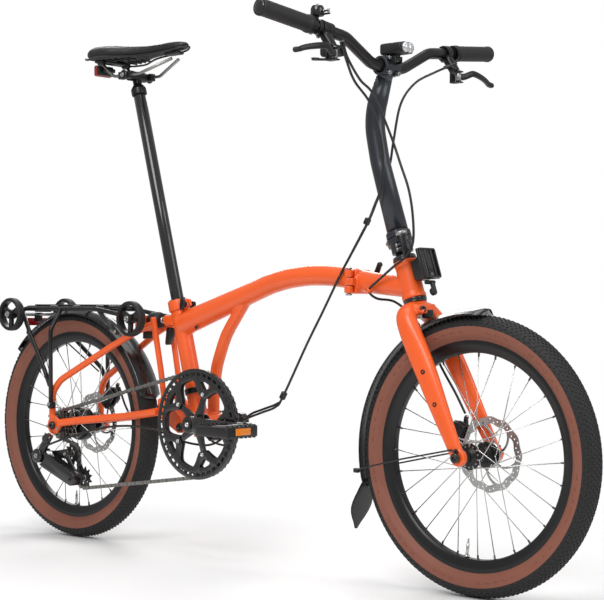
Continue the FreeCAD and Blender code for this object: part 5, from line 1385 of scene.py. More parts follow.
def rack():
    """The luggage rack: a bent deck loop, cross rods, two slats, legs, struts and a reflector."""
    deck = RACK_DECK
    (rear_x, rear_z), (front_x, front_z) = ROLLER_AXLES.values()
    pieces = []
    for side in (1, -1):
        pieces.append(tube("rail", [(-706, side * 57, 504), (-680, side * 57, deck),
                                    (-430, side * 57, deck),
                                    (front_x, side * 57, front_z)], 5, BLACK_METAL, 20, 18))
        pieces.append(tube("leg", [(-551, side * 57, deck), (-555, side * 84, 470), (-552, side * 84, 300)],
                           5,
                           BLACK_METAL, 30, 18))
        pieces.append(tube("strut", [(-690, side * 57, 512), (-655, side * 60, 455), (-575, side * 84, 380),
                                     (-556, side * 84, 345)], 5, BLACK_METAL, 30, 18))
        pieces.append(tube("brace", [(-424, side * 57, deck - 2), (-364, side * 54, 465)], 5, BLACK_METAL,
                           20, 16))
        pieces.append(barrel("boss", (-701.5, side * 57, 504), Y, 8, 14, BLACK_METAL))
        pieces.append(barrel("boss", (front_x, side * 61, front_z), Y, 8, 14, BLACK_METAL))
        pieces.append(bolt("leg_bolt", (-552, side * 89, 304), Y * side, 4.4, 3, STEEL))
        pieces.append(barrel("leg_foot", (-552, side * 82, 302), Y, 8.4, 12, BLACK_METAL))
        pieces.append(bolt("brace_bolt", (-366, side * 59, 468), Y * side, 4, 2.6, STEEL))
        pieces.append(block("slat", (252, 8, 4), vec((-554, side * 26, deck + 8.5)), BLACK_METAL,
                            bevel=1.4))
        pieces.append(post("stub", (front_x, side * 55, front_z), (front_x, side * 93, front_z), 4, STEEL,
                           20))
        for x, z in ROLLER_AXLES.values():
            pieces.append(bolt("axle_cap", (x, side * 92, z), Y * side, 7, 3.2, STEEL))
    for x in (-672, -595, -515, -436):
        pieces.append(tube("rod", [(x, -57, deck + 3), (x, -50, deck + 4.5), (x, 50, deck + 4.5),
                                   (x, 57, deck + 3)],
                           3.5, BLACK_METAL, 10, 16))
    pieces.append(post("axle", (rear_x, -92, rear_z), (rear_x, 92, rear_z), 4, STEEL, 20))
    pieces.append(block("reflector_arm", (7, 20, 16), vec((-703, 0, 496)), BLACK_METAL, bevel=2))
    pieces.append(block("reflector", (7, 70, 18), vec((-708.5, 0, 487)), RED, bevel=2.4))
    for k in range(9):
        pieces.append(block("reflector_rib", (1.2, 2, 14), vec((-712, -28 + 7 * k, 487)), RED, bevel=0.5))
    pieces.append(block("lamp_plate", (36, 22, 3), vec((-686, 0, 511)), BLACK_METAL, bevel=1.2))
    fit("rack", pieces, "rear_frame", "black_metal")


def rollers():
    """Three-spoked carrier rollers with soft tyres."""
    for end, (x, z) in ROLLER_AXLES.items():
        for side_name, side in (("left", 1), ("right", -1)):
            at = vec((x, side * 80, z))
            pieces = [lathe("tyre", [(32.5, -8.6), (35, -10.6), (37.4, -7), (38, -2.4), (37.2, 0),
                                     (38, 2.4), (37.4, 7),
                                     (35, 10.6), (32.5, 8.6)], at, Y, GRIP, 72),
                      lathe("band", rounded_profile([(29.6, -8), (32.8, -8), (32.8, 8), (29.6, 8)], 0.8),
                            at, Y, PLASTIC, 72),
                      lathe("hub", rounded_profile([(4.2, -9), (10, -9), (11, -4), (11, 4), (10, 9),
                                                    (4.2, 9)], 0.8), at, Y,
                            PLASTIC, 48)]
            for turn in turns(3):
                way = wheel_way(turn + 0.5)
                pieces.append(block("spoke", (22, 8, 11), at + way * (20 * MM), PLASTIC,
                                    (way, Y, way.cross(Y)), 1.6))
            pieces.append(bolt("cap", line_mm(at + Y * (side * 9 * MM)), Y * side, 8, 3, BLACK_METAL))
            name = f"roller_{end}_{side_name}"
            fit(name, pieces, name, "black_plastic")


def rear_mudguard():
    """The rear blade with its stays, clips and bracket."""
    pieces = [arc_blade("blade", REAR_HUB, 262.5, 15, 141, 29.5, GLOSS)]
    for side in (1, -1):
        pieces.append(tube("stay", [(-575, side * 76, 372), (-672, side * 50, 446), (-700, side * 33, 462)],
                           1.7,
                           BLACK_METAL, 30, 10))
        pieces.append(block("clip", (10, 5, 9), vec((-700, side * 32, 462)), PLASTIC, bevel=1.6))
    pieces.append(block("bracket", (6, 24, 18), vec((-326, 0, 462)), BLACK_METAL, bevel=1.8))
    fit("rear_mudguard", pieces, "rear_frame", "gloss_black")


rear_frame()
spring_block()
rack()
rollers()
rear_mudguard()


# ---------------------------------------------------------------- drive
CHAIN_Y = -49
GUIDE = REAR_HUB + Vector((39, CHAIN_Y, -62)) * MM
TENSION = REAR_HUB + Vector((79, CHAIN_Y, -114)) * MM
PITCH = 12.7


def pitch_radius(teeth):
    return PITCH / (2 * math.sin(math.pi / teeth))


def toothed(teeth, inner, holes=0, reach=0.0, size=0.0):
    """A sprocket's outline with rounded roots, and its inner and lightening holes."""
    mid_radius = pitch_radius(teeth)
    outline = []
    for i in range(teeth):
        for share, step in ((0.0, -3.9), (0.12, -3.6), (0.24, -2.2), (0.34, 0.6), (0.43, 3.2), (0.57, 3.2),
                            (0.66, 0.6),
                            (0.76, -2.2), (0.88, -3.6)):
            turn = 2 * math.pi * (i + share) / teeth
            outline.append(((mid_radius + step) * math.cos(turn), (mid_radius + step) * math.sin(turn)))
    rings = [circle(inner, 72)]
    for turn in turns(holes, 0.5):
        rings.append(circle(size, 16, (reach * math.cos(turn), reach * math.sin(turn))))
    return outline, rings


def cassette():
    """Four steel cogs with spacers between them and a lock ring outside."""
    pieces = []
    for teeth, y in ((18, -44), (15, -49), (13, -54), (11, -59)):
        outline, holes = toothed(teeth, 14.5)
        pieces.append(prism("cog", outline, 1.8, REAR_HUB + Y * (y * MM), X, Z, CHAIN_STEEL, holes))
        pieces.append(lathe("spacer", rounded_profile([(9.2, -1.5), (17, -1.5), (17, 1.5), (9.2, 1.5)],
                                                      0.4),
                            REAR_HUB + Y * ((y - 2.5) * MM), Y, BLACK_METAL, 48))
    ring = rounded_profile([(9.2, -1.8), (15.6, -1.8), (16.4, 0), (15.6, 1.6), (9.2, 1.6)], 0.5)
    pieces.append(lathe("lock_ring", ring, REAR_HUB - Y * (62.2 * MM), Y, STEEL, 48))
    fit("cassette", pieces, "cassette", "steel")


ARMS = 5
ARM_STEP = 360 / ARMS
BOLT_CIRCLE = 65
RING_TEETH, COG_TEETH, PULLEY_TEETH = 54, 15, 11


def lobed(wide, reach, count=160):
    """A five-lobed opening: wide between the arms and drawn in to the bolts at the arms."""
    loop = []
    for angle in turns(count):
        off = abs((math.degrees(angle) + ARM_STEP / 2) % ARM_STEP - ARM_STEP / 2)
        open_share = min(1.0, max(0.0, (off - 7) / 19))
        open_share = open_share * open_share * (3 - 2 * open_share)
        radius = reach + (wide - reach) * open_share
        loop.append((radius * math.cos(angle), radius * math.sin(angle)))
    return loop


def fork_windows(low, high):
    """The five small three-sided openings beyond the bolts, where each arm parts in two."""
    corners = [(low, -2.2), (high - 3, -10.5), (high, -8.5), (high + 1.2, 0), (high, 8.5), (high - 3, 10.5),
               (low, 2.2)]
    return [polar(corners, ARM_STEP * arm) for arm in range(ARMS)]


def edge_slots(count, low, high, half_turn):
    """A row of short slots round a ring's edge."""
    corners = [(low, -half_turn), (high, -half_turn), (high, half_turn), (low, half_turn)]
    return [polar(corners, 360 * (i + 0.5) / count) for i in range(count)]


def chainring():
    """The toothed ring with five forked arms, and the slotted guard of the same pattern outside it."""
    outline, _ = toothed(RING_TEETH, 0)
    at = BRACKET + Y * (CHAIN_Y * MM)
    windows = [lobed(91, 58), *fork_windows(75, 90)]
    pieces = [prism("ring", outline, 2.2, at, X, Z, DARK_STEEL, windows)]
    guard = BRACKET - Y * (58 * MM)
    openings = [lobed(91, 58), *fork_windows(75, 90), *edge_slots(40, 100.5, 107, 2.7)]
    pieces.append(prism("guard", circle(114.6), 2.8, guard, X, Z, GLOSS_METAL, openings, bevel=0.5))
    for i in range(ARMS):
        way = wheel_way(math.radians(ARM_STEP * i))
        pieces.append(barrel("spacer", line_mm(BRACKET + way * (BOLT_CIRCLE * MM) - Y * (53.6 * MM)), Y,
                             5.4, 10, GLOSS_METAL))
        pieces.append(bolt("ring_bolt", line_mm(guard + way * (BOLT_CIRCLE * MM) - Y * (1.4 * MM)), -Y, 4.6,
                           2.2, SILVER))
    fit("chainring", pieces, "cranks", "black_metal")


CRANK_LENGTH, CRANK_PLANE = 165, 76
PEDAL_MIDDLE = CRANK_PLANE + 12 + 47.5


def crank_arm(side):
    """A forged arm, broad at the axle and slim at the pedal, with a groove along its face."""
    way = X * (1 if side < 0 else -1)
    at = BRACKET + Y * (side * CRANK_PLANE * MM)
    path = [at + way * (share * CRANK_LENGTH * MM) for share in (0, 0.12, 0.3, 0.55, 0.8, 1.0)]
    widths = (15.5, 15.2, 13.4, 12.2, 11.8, 12.4)

    arm = sweep("arm", path, lambda s: (between_rows(widths, s), 6.6), GLOSS_METAL, 28, towards=Z,
                power=3.6)
    parts = [arm, barrel("boss", line_mm(at - Y * (2 * side * MM)), Y, 18, 17, GLOSS_METAL, edge=2.4),
             barrel("eye", line_mm(at + way * (CRANK_LENGTH * MM)), Y, 13, 13, GLOSS_METAL, edge=2)]
    out = Y * side
    pieces = [*parts, barrel("axle_cap", line_mm(at + out * (6.6 * MM)), Y, 11, 3, BLACK_METAL, edge=1),
              bolt("axle_bolt", line_mm(at + out * (8 * MM)), out, 5.4, 2.4, SILVER)]
    pieces.append(prism("groove", [(26, -4.2), (34, -5.2), (132, -3.6), (138, 0), (132, 3.6), (34, 5.2),
                                   (26, 4.2)],
                        0.8, at + out * (6.5 * MM), way, Z, BLACK_METAL, bevel=0.3))
    return pieces


def cranks():
    """Both crank arms, the axle, the five-armed spider and the pedal spindles."""
    pieces = [*crank_arm(-1), *crank_arm(1), post("axle", line_mm(BRACKET - Y * (66 * MM)),
                                                    line_mm(BRACKET + Y * (66 * MM)), 12, STEEL, 40)]
    at = BRACKET - Y * (53.6 * MM)
    pieces.append(barrel("spacer", line_mm(BRACKET - Y * (61 * MM)), Y, 19, 15, GLOSS_METAL, edge=2))
    for i in range(ARMS):
        turn = math.radians(ARM_STEP * i + 18)
        way = Vector((math.sin(turn), 0, math.cos(turn)))
        side = way.cross(Y)
        arm = [(-15, 6), (-10, 26), (-7.2, 46), (-7.2, 60), (-5.4, 67), (0, 70), (5.4, 67), (7.2, 60),
               (7.2, 46),
               (10, 26), (15, 6)]
        pieces.append(prism("spider", arm, 5, at, side, way, GLOSS_METAL, bevel=1.2))
    for side in (-1, 1):
        way = 1 if side < 0 else -1
        root = BRACKET + Vector((way * CRANK_LENGTH, side * 70, 0)) * MM
        profile = [(0, 0), (6.9, 0), (6.9, 12.4), (8.6, 13), (8.6, 16), (6, 17), (5.9, 107), (0, 107)]
        pieces.append(lathe("spindle", profile, root, Y * side, STEEL, 32, closed=False))
    fit("cranks", pieces, "cranks", "black_metal")


def pedal(side):
    """A platform pedal: ribbed hollow side plates, a barrel, end plates and amber reflectors."""
    way = 1 if side < 0 else -1
    name = "pedal_right" if side < 0 else "pedal_left"
    at = BRACKET + Vector((way * CRANK_LENGTH, side * PEDAL_MIDDLE, 0)) * MM
    pieces = [lathe("barrel", rounded_profile([(6.3, -42), (10, -42), (12, -34), (10.6, 0), (12, 34),
                                               (10, 42),
                                               (6.3, 42)], 1.2), at, Y, PLASTIC, 40)]
    for edge in (-1, 1):
        pieces.append(block("end_plate", (84, 9, 20), at + Y * (edge * 40 * MM), PLASTIC, bevel=3))
        pieces.append(block("edge_bar", (9, 86, 22), at + X * (edge * 39.5 * MM), PLASTIC, bevel=2.4))
        for k in range(7):
            for level in (-1, 1):
                spot = at + Vector((edge * 39.5, -36 + 12 * k, level * 11.4)) * MM
                pieces.append(block("tooth", (8, 4, 3.6), spot, PLASTIC, bevel=0.9))
        pieces.append(block("reflector_case", (3, 46, 18), at + X * (edge * 44 * MM), PLASTIC, bevel=0.9))
        pieces.append(block("reflector", (2.4, 41, 13.4), at + X * (edge * 45.4 * MM), AMBER, bevel=0.7))
        for k in range(7):
            pieces.append(block("reflector_rib", (0.8, 1.2, 11), at + Vector((edge * 46.6, -18 + 6 * k,
                                                                              0)) * MM, AMBER,
                                bevel=0.2))
    for k in (-1, 1):
        for edge in (-1, 1):
            pieces.append(block("web", (28, 4, 14), at + Vector((edge * 24, k * 16, 0)) * MM, PLASTIC,
                                bevel=1))
    fit(name, pieces, name, "black_plastic")


def belt_path(stops, step):
    """Even points of a loop round circles (centre, radius, way round), about a step apart in millimetres."""
    count = len(stops)
    spans = []
    for i in range(count):
        (a, ar, aw), (b, br, bw) = stops[i], stops[(i + 1) % count]
        ax, az, bx, bz = a.x / MM, a.z / MM, b.x / MM, b.z / MM
        reach = math.hypot(bx - ax, bz - az)
        turn = math.atan2(bz - az, bx - ax) + math.acos((aw * ar - bw * br) / reach)
        spans.append(((ax + aw * ar * math.cos(turn), az + aw * ar * math.sin(turn)),
                      (bx + bw * br * math.cos(turn), bz + bw * br * math.sin(turn))))
    line = []
    for i in range(count):
        out, into = spans[i]
        pieces = max(2, int(math.hypot(into[0] - out[0], into[1] - out[1]) / 2))
        line += [(out[0] + (into[0] - out[0]) * k / pieces, out[1] + (into[1] - out[1]) * k / pieces)
                 for k in range(pieces)]
        centre, radius, way = stops[(i + 1) % count]
        cx, cz = centre.x / MM, centre.z / MM
        after = spans[(i + 1) % count][0]
        first = math.atan2(into[1] - cz, into[0] - cx)
        last = math.atan2(after[1] - cz, after[0] - cx)
        sweep_angle = (first - last) % (2 * math.pi) if way > 0 else -((last - first) % (2 * math.pi))
        pieces = max(2, int(abs(sweep_angle) * radius / 2))
        line += [(cx + radius * math.cos(first - sweep_angle * k / pieces),
                  cz + radius * math.sin(first - sweep_angle * k / pieces)) for k in range(pieces)]
    lengths = [0.0]
    closed = line + [line[0]]
    for a, b in zip(closed, closed[1:]):
        lengths.append(lengths[-1] + math.hypot(b[0] - a[0], b[1] - a[1]))
    total = 2 * round(lengths[-1] / step / 2)
    points, j = [], 0
    for k in range(total):
        want = lengths[-1] * k / total
        while lengths[j + 1] < want:
            j += 1
        t = (want - lengths[j]) / (lengths[j + 1] - lengths[j])
        points.append((closed[j][0] * (1 - t) + closed[j + 1][0] * t,
                       closed[j][1] * (1 - t) + closed[j + 1][1] * t))
    return points


def chain():
    """The chain link by link: waisted plates, outer and inner by turns, with rollers and pin heads."""
    stops = ((BRACKET, pitch_radius(RING_TEETH), 1), (TENSION, pitch_radius(PULLEY_TEETH), 1),
             (GUIDE, pitch_radius(PULLEY_TEETH), -1), (REAR_HUB, pitch_radius(COG_TEETH), 1))
    points = belt_path(stops, PITCH)
    count = len(points)
    verts, faces = [], []

    def add_plate(a, b, y, thick, half):
        ahead = Vector((b[0] - a[0], 0, b[1] - a[1]))
        length = ahead.length
        ahead.normalize()
        up = Vector((-ahead.z, 0, ahead.x))
        shape = []
        for k in range(7):
            turn = math.radians(90 + 30 * k)
            shape.append((half * math.cos(turn), half * math.sin(turn)))
        shape.append((length / 2, -half * 0.68))
        for k in range(7):
            turn = math.radians(-90 + 30 * k)
            shape.append((length + half * math.cos(turn), half * math.sin(turn)))
        shape.append((length / 2, half * 0.68))
        base, size = len(verts), len(shape)
        for level in (y - thick / 2, y + thick / 2):
            for x, z in shape:
                verts.append((Vector((a[0], level, a[1])) + ahead * x + up * z) * MM)
        faces.append([base + k for k in range(size)])
        faces.append([base + size + k for k in range(size)][::-1])
        for k in range(size):
            n = (k + 1) % size
            faces.append((base + n, base + k, base + size + k, base + size + n))

    def add_pin(at, radius, half, sides=12):
        base = len(verts)
        for level in (-half, half):
            for k in range(sides):
                turn = 2 * math.pi * k / sides
                verts.append(Vector((at[0] + radius * math.cos(turn), CHAIN_Y + level,
                                     at[1] + radius * math.sin(turn)))
                             * MM)
        faces.append([base + k for k in range(sides)])
        faces.append([base + sides + k for k in range(sides)][::-1])
        for k in range(sides):
            n = (k + 1) % sides
            faces.append((base + n, base + k, base + sides + k, base + sides + n))

    for i in range(count):
        a, b = points[i], points[(i + 1) % count]
        gap = 2.75 if i % 2 else 1.75
        for side in (-1, 1):
            add_plate(a, b, CHAIN_Y + side * gap, 0.9, 4.1)
        add_pin(a, 1.9, 3.35)
    links = recalc(new_piece("chain_looks", verts, faces, CHAIN_STEEL, smooth=False))
    place(links, "rear_frame", "chain", slot="steel")


def derailleur():
    """The long glossy cover arm, its knuckles and cage, and the two toothed wheels."""
    def spot(x, y, z):
        return line_mm(REAR_HUB + Vector((x, y, z)) * MM)

    pieces = [sweep("hanger", [vec(spot(-4, -82, -20)), vec(spot(-10, -84, -34)), vec(spot(-20, -86, -52)),
                               vec(spot(-32, -87, -69))], lambda s: (13 - 3 * math.sin(math.pi * s), 6.2),
                               GLOSS_METAL,
                    24, towards=X, power=2.8),
              barrel("knuckle", spot(-32, -87, -69), Y, 16, 20, GLOSS_METAL, edge=3.4),
              barrel("knuckle", spot(-10, -84, -30), Y, 9, 15, GLOSS_METAL, edge=2),
              bolt("pivot_bolt", spot(-32, -97, -69), -Y, 6, 2.6, STEEL)]
    fit("derailleur", pieces, "rear_frame", "black_metal")
    knuckle = REAR_HUB + Vector((-32, -69, -69)) * MM
    low = Vector((TENSION.x, -0.0685, TENSION.z))
    high = Vector((GUIDE.x, -0.0685, GUIDE.z))
    flat = Vector((0, 1, 0))

    def bar(name, a, b, wide, thick, material):
        return sweep(name, [a, a.lerp(b, 0.15), a.lerp(b, 0.5), a.lerp(b, 0.85), b],
                     lambda s: (thick, wide - 2.5 * math.sin(math.pi * s)), material, 20, towards=flat,
                     power=3)

    run = low - knuckle
    reach = run.length / MM
    along = run.normalized()
    hollow = [(18.4 * math.cos(t),
               18.4 * math.sin(t)) for t in (math.radians(62 - 12.4 * k) for k in range(11))]
    nose = [(reach + 14.5 * math.cos(t),
             14.5 * math.sin(t)) for t in (math.radians(-80 + 16 * k) for k in range(11))]
    cover = prism("cover_arm", [*hollow, (22, -18.2), *nose, (22, 18.2)], 24,
                  knuckle - Y * (10.5 * MM), along, along.cross(Y), GLOSS_METAL)
    cage = [bar("long_arm", knuckle, low, 15.5, 4.4, GLOSS_METAL),
            bar("link", high, low, 8.5, 2.6, GLOSS_METAL),
            soften(cover, 3, 3), bar("upper_link", knuckle, high, 11, 2.6, GLOSS_METAL),
            barrel("root", line_mm(knuckle), Y, 18, 9, GLOSS_METAL, edge=3),
            barrel("tip", line_mm(low), Y, 15, 8, GLOSS_METAL, edge=3),
            barrel("tip", line_mm(high), Y, 11, 7, GLOSS_METAL, edge=2.4),
            bolt("tip_bolt", line_mm(low - Y * (24 * MM)), -Y, 3.4, 1.6, BLACK_METAL),
            bolt("tip_bolt", line_mm(high - Y * (3.6 * MM)), -Y, 4.2, 2.2, STEEL)]
    for at in (TENSION, GUIDE):
        cage.append(post("wheel_pin", (at.x / MM, -71, at.z / MM), (at.x / MM, -45, at.z / MM), 3.9, STEEL,
                         20))
        cage.append(barrel("inner_plate", (at.x / MM, -45.4, at.z / MM), Y, 9, 1.6, BLACK_METAL, edge=0.5))
    inner_a, inner_b = Vector((GUIDE.x, -0.0448, GUIDE.z)), Vector((TENSION.x, -0.0448, TENSION.z))
    cage.append(sweep("inner_bar", [inner_a, inner_b], (0.8, 6), BLACK_METAL, 16, towards=flat, power=3))
    fit("derailleur_cage", cage, "derailleur_cage", "black_metal")
    for name, at in (("guide_pulley", GUIDE), ("tension_pulley", TENSION)):
        outline, holes = toothed(PULLEY_TEETH, 5, 5, 11.5, 2.6)
        wheel = prism("wheel", outline, 1.9, at, X, Z, PLASTIC, holes)
        ring = lathe("bush", [(4.1, -2.4), (6.6, -2.4), (7.2, -1), (7.2, 1), (6.6, 2.4), (4.1, 2.4)], at, Y,
                     STEEL, 28)
        fit(name, [wheel, ring], name, "black_plastic")


cassette()
chainring()
cranks()
pedal(-1)
pedal(1)
chain()
derailleur()


# ---------------------------------------------------------------- seatpost and saddle
POST_TOP, POST_LENGTH = 1000, 590
SADDLE_TOP, SADDLE_LENGTH = 1102, 275
SADDLE_BACK = 118


def seatpost():
    """A plain round post with a rounded lip where the clamp grips it and five faint height marks."""
    top = seat_line(POST_TOP * MM)
    low = top - SEAT_UP * (POST_LENGTH * MM)
    profile = [(11.4, 0), (13.2, 0), (13.6, 0.6), (13.6, POST_LENGTH - 0.6), (13.2, POST_LENGTH),
               (11.4, POST_LENGTH)]
    tube_part = lathe("seat_tube", profile, low, SEAT_UP, GLOSS_METAL, 64)
    marks = []
    for k in range(5):
        ring = [(13.3, -0.35), (13.72, -0.2), (13.72, 0.2), (13.3, 0.35)]
        marks.append(lathe("mark", ring, low + SEAT_UP * ((130 + 8 * k) * MM), SEAT_UP, BLACK_METAL, 48))
    fit("seatpost", [tube_part, *marks], "seatpost", "gloss_black_metal")


def saddle_clamp():
    """The ferrule at the post's top, the two-piece rail clamp with its bolt, and the steel rails."""
    top = seat_line(POST_TOP * MM)
    at = top + SEAT_UP * (30 * MM) + X * (2 * MM)
    ferrule = rounded_profile([(13.7, -13), (16.8, -13), (16.8, 1), (12, 8), (9.4, 11), (9.4, 24),
                               (0.3, 24), (0.3, 0.3),
                               (13.7, 0.3)], 1.3)
    pieces = [lathe("ferrule", ferrule, top, SEAT_UP, BLACK_METAL, 56)]
    pieces.append(bolt("ferrule_bolt", line_mm(top + Vector((-16, 0, -6)) * MM), -X, 3.6, 2.6, STEEL))
    pieces.append(barrel("cradle", line_mm(at), Y, 11, 50, BLACK_METAL, edge=2))
    for side in (1, -1):
        place_at = at + Y * (side * 31 * MM)
        for level in (-1, 1):
            pieces.append(block("jaw", (42, 12, 7), place_at + Z * (level * 4.6 * MM), BLACK_METAL,
                                bevel=2))
        pieces.append(lathe("jaw_cap", [(0, 0), (11, 0), (11, 2.5), (8.5, 4.6), (0, 5)],
                            at + Y * (side * 37 * MM), Y * side,
                            BLACK_METAL, 40, closed=False))
        pieces.append(bolt("jaw_bolt", line_mm(at + Y * (side * 41.6 * MM)), Y * side, 5.4, 3, STEEL))
    rear_x = at.x / MM - SADDLE_BACK
    for side in (1, -1):
        points = [(rear_x + 43, side * 36, at.z / MM + 33), (at.x / MM - 40, side * 32, at.z / MM),
                  (at.x / MM + 42, side * 30, at.z / MM), (at.x / MM + 122, side * 10, at.z / MM + 27)]
        pieces.append(tube("rail", points, 3.5, STEEL, 26, 18))
    fit("saddle_clamp", pieces, "seatpost", "black_metal")
    return at


def saddle_rows(shrink=1.0):
    """Cross-sections of the saddle: place along it, half width, top height, bottom height."""
    table = ((0.0, 42, -12, -30), (0.035, 56, -5, -34), (0.10, 67, 0, -37), (0.20, 70.5, -1, -38),
             (0.30, 66, -3.5, -38),
             (0.40, 52, -6.5, -37), (0.50, 38, -8.5, -36), (0.60, 29, -9.5, -35), (0.72, 24.5, -9, -34),
             (0.84, 22, -7.5, -32), (0.93, 19.5, -8, -30), (0.98, 14, -10.5, -27), (1.0, 7, -14, -24))
    return [(share * SADDLE_LENGTH, wide * shrink, top, low) for share, wide, top, low in table]


def saddle_shape(name, rear_x, top_z, material, shrink=1.0, around=40):
    """A closed saddle shell: a padded crown over turned-in skirts, hollow-looking beneath."""
    rows = saddle_rows(shrink)
    stations = []
    steps = 44
    for k in range(steps + 1):
        share = k / steps
        share = 0.5 - 0.5 * math.cos(math.pi * share)
        x = share * SADDLE_LENGTH
        for low, high in zip(rows, rows[1:]):
            if low[0] <= x <= high[0] + 1e-9:
                t = (x - low[0]) / (high[0] - low[0])
                t = t * t * (3 - 2 * t) * 0.5 + t * 0.5
                stations.append((x, *(a + (b - a) * t for a, b in zip(low[1:], high[1:]))))
                break
    verts, faces = [], []
    for x, wide, top, low in stations:
        middle = (top * 0.42 + low * 0.58)
        for k in range(around):
            turn = 2 * math.pi * k / around
            c, s = math.cos(turn), math.sin(turn)
            y = wide * math.copysign(abs(c) ** 0.82, c)
            if s >= 0:
                z = middle + (top - middle) * s ** 0.78
                z -= 3.2 * math.exp(-(y / 9) ** 2) * math.exp(-((x - 110) / 95) ** 2)
            else:
                y *= 1 - 0.20 * (-s) ** 0.7
                z = middle + (low - middle) * (-s) ** 0.6 + 9 * (-s) * math.exp(-(y / max(wide,
                                                                                          1) / 0.55) ** 2)
            verts.append(Vector((rear_x + x, y, top_z + z * shrink)) * MM)
    for i in range(len(stations) - 1):
        for k in range(around):
            n = (k + 1) % around
            faces.append((i * around + k, i * around + n, (i + 1) * around + n, (i + 1) * around + k))
    faces.append(tuple(range(around)))
    last = (len(stations) - 1) * around
    faces.append(tuple(last + k for k in range(around))[::-1])
    return recalc(new_piece(name, verts, faces, material))


def puff(cover, pressure=4.0, limit=7.0):
    """Inflates a cover a little as cloth, so that its padding swells softly, then keeps the settled mesh."""
    scene = bpy.context.scene
    modifier(cover, "REMESH", mode="VOXEL", voxel_size=4.5 * MM, use_smooth_shade=True)
    apply_all(cover)
    before = [v.co.copy() for v in cover.data.vertices]
    low = min(v.z for v in before)
    high = max(v.z for v in before)
    group = cover.vertex_groups.new(name="sewn")
    for i, v in enumerate(before):
        if v.z < low + (high - low) * 0.45:
            group.add([i], 1.0, "REPLACE")
    sim = cover.modifiers.new("cloth", "CLOTH")
    sim.settings.quality = 6
    sim.settings.mass = 0.3
    sim.settings.tension_stiffness = 25
    sim.settings.compression_stiffness = 25
    sim.settings.bending_stiffness = 1.2
    sim.settings.vertex_group_mass = "sewn"
    sim.settings.pin_stiffness = 1.0
    sim.settings.use_pressure = True
    sim.settings.uniform_pressure_force = pressure
    sim.settings.effector_weights.gravity = 0
    sim.collision_settings.use_collision = False
    sim.point_cache.frame_start = 1
    sim.point_cache.frame_end = 20
    scene.frame_start, scene.frame_end = 1, 20
    for step in range(1, 21):
        scene.frame_set(step)
        bpy.context.view_layer.update()
    graph = bpy.context.evaluated_depsgraph_get()
    mesh = bpy.data.meshes.new_from_object(cover.evaluated_get(graph))
    for v, rest in zip(mesh.vertices, before):
        move = v.co - rest
        if move.length > limit * MM:
            v.co = rest + move.normalized() * (limit * MM)
    cover.modifiers.clear()
    cover.data = mesh
    scene.frame_set(1)
    return cover


def saddle(clamp_at):
    """A padded cover over a moulded base, with seams, a rear bumper, and the base's ribs and rail sockets."""
    rear_x = clamp_at.x / MM - SADDLE_BACK
    cover = puff(saddle_shape("cover", rear_x + 2, SADDLE_TOP - 2, COVER, shrink=0.97))
    modifier(cover, "SMOOTH", factor=0.5, iterations=4)
    modifier(cover, "SUBSURF", levels=1, render_levels=1)
    apply_all(cover)
    cover.data.polygons.foreach_set("use_smooth", [True] * len(cover.data.polygons))
    cover.data.materials.clear()
    cover.data.materials.append(COVER)

    def drop_to_skin(x, y):
        """The cover's top at a place in millimetres."""
        start = vec((x, y, SADDLE_TOP + 60))
        hit, at, _, _ = cover.ray_cast(start, -Z)
        return at if hit else None

    pieces = [cover]
    for side in (1, -1):
        seam = []
        for k in range(31):
            x = rear_x + 16 + k * 7.9
            share = (x - rear_x) / SADDLE_LENGTH
            wide = 47 - 24 * min(1, max(0, (share - 0.12) / 0.45)) - 4 * share
            at = drop_to_skin(x, side * wide)
            if at is not None:
                seam.append(at + Z * (0.2 * MM))
        if len(seam) > 4:
            pieces.append(sweep("seam", seam, (0.8, 0.5), PLASTIC, 8, towards=Y))
            for k in range(len(seam) - 1):
                for half in (0.25, 0.75):
                    at = seam[k].lerp(seam[k + 1], half)
                    way = (seam[k + 1] - seam[k]).normalized()
                    pieces.append(block("stitch", (2.6, 0.6, 0.5), at + Y * (side * 1.8 * MM), GRIP,
                                        (way, Y, way.cross(Y)), 0))
    rows = saddle_rows()
    rim_path = []
    for side in (1, -1):
        half = [(rear_x + x, side * wide * 0.93, SADDLE_TOP + low * 0.93) for x, wide, _, low in rows]
        rim_path = rim_path + (half if side > 0 else half[::-1][1:])
    rim_path.append(rim_path[0])
    pieces.append(sweep("base_edge", spline(rim_path, 3), (2.2, 2.2), PLASTIC, 10))
    pieces.append(block("base_rear", (26, 86, 7), vec((rear_x + 38, 0, SADDLE_TOP - 36)), PLASTIC,
                        bevel=2.6))
    pieces.append(block("base_nose", (40, 24, 7), vec((rear_x + 236, 0, SADDLE_TOP - 34)), PLASTIC,
                        bevel=2.6))
    for side in (1, -1):
        pieces.append(barrel("rail_socket", (rear_x + 42, side * 36, clamp_at.z / MM + 34), X, 6.2, 18,
                             PLASTIC))
        for k in range(4):
            pieces.append(block("base_rib", (3, 28, 4), vec((rear_x + 70 + 18 * k, side * (30 - 3 * k),
                                                             SADDLE_TOP - 36)),
                                PLASTIC, bevel=1))
    bumper = sweep("bumper", spline([(rear_x + 10, 40, SADDLE_TOP - 26), (rear_x + 1, 24, SADDLE_TOP - 22),
                                     (rear_x - 1, 0, SADDLE_TOP - 21), (rear_x + 1, -24, SADDLE_TOP - 22),
                                     (rear_x + 10, -40, SADDLE_TOP - 26)], 6), (2.4, 5), PLASTIC, 14,
                                     towards=X)
    pieces.append(bumper)
    fit("saddle", pieces, "seatpost", "saddle_cover")


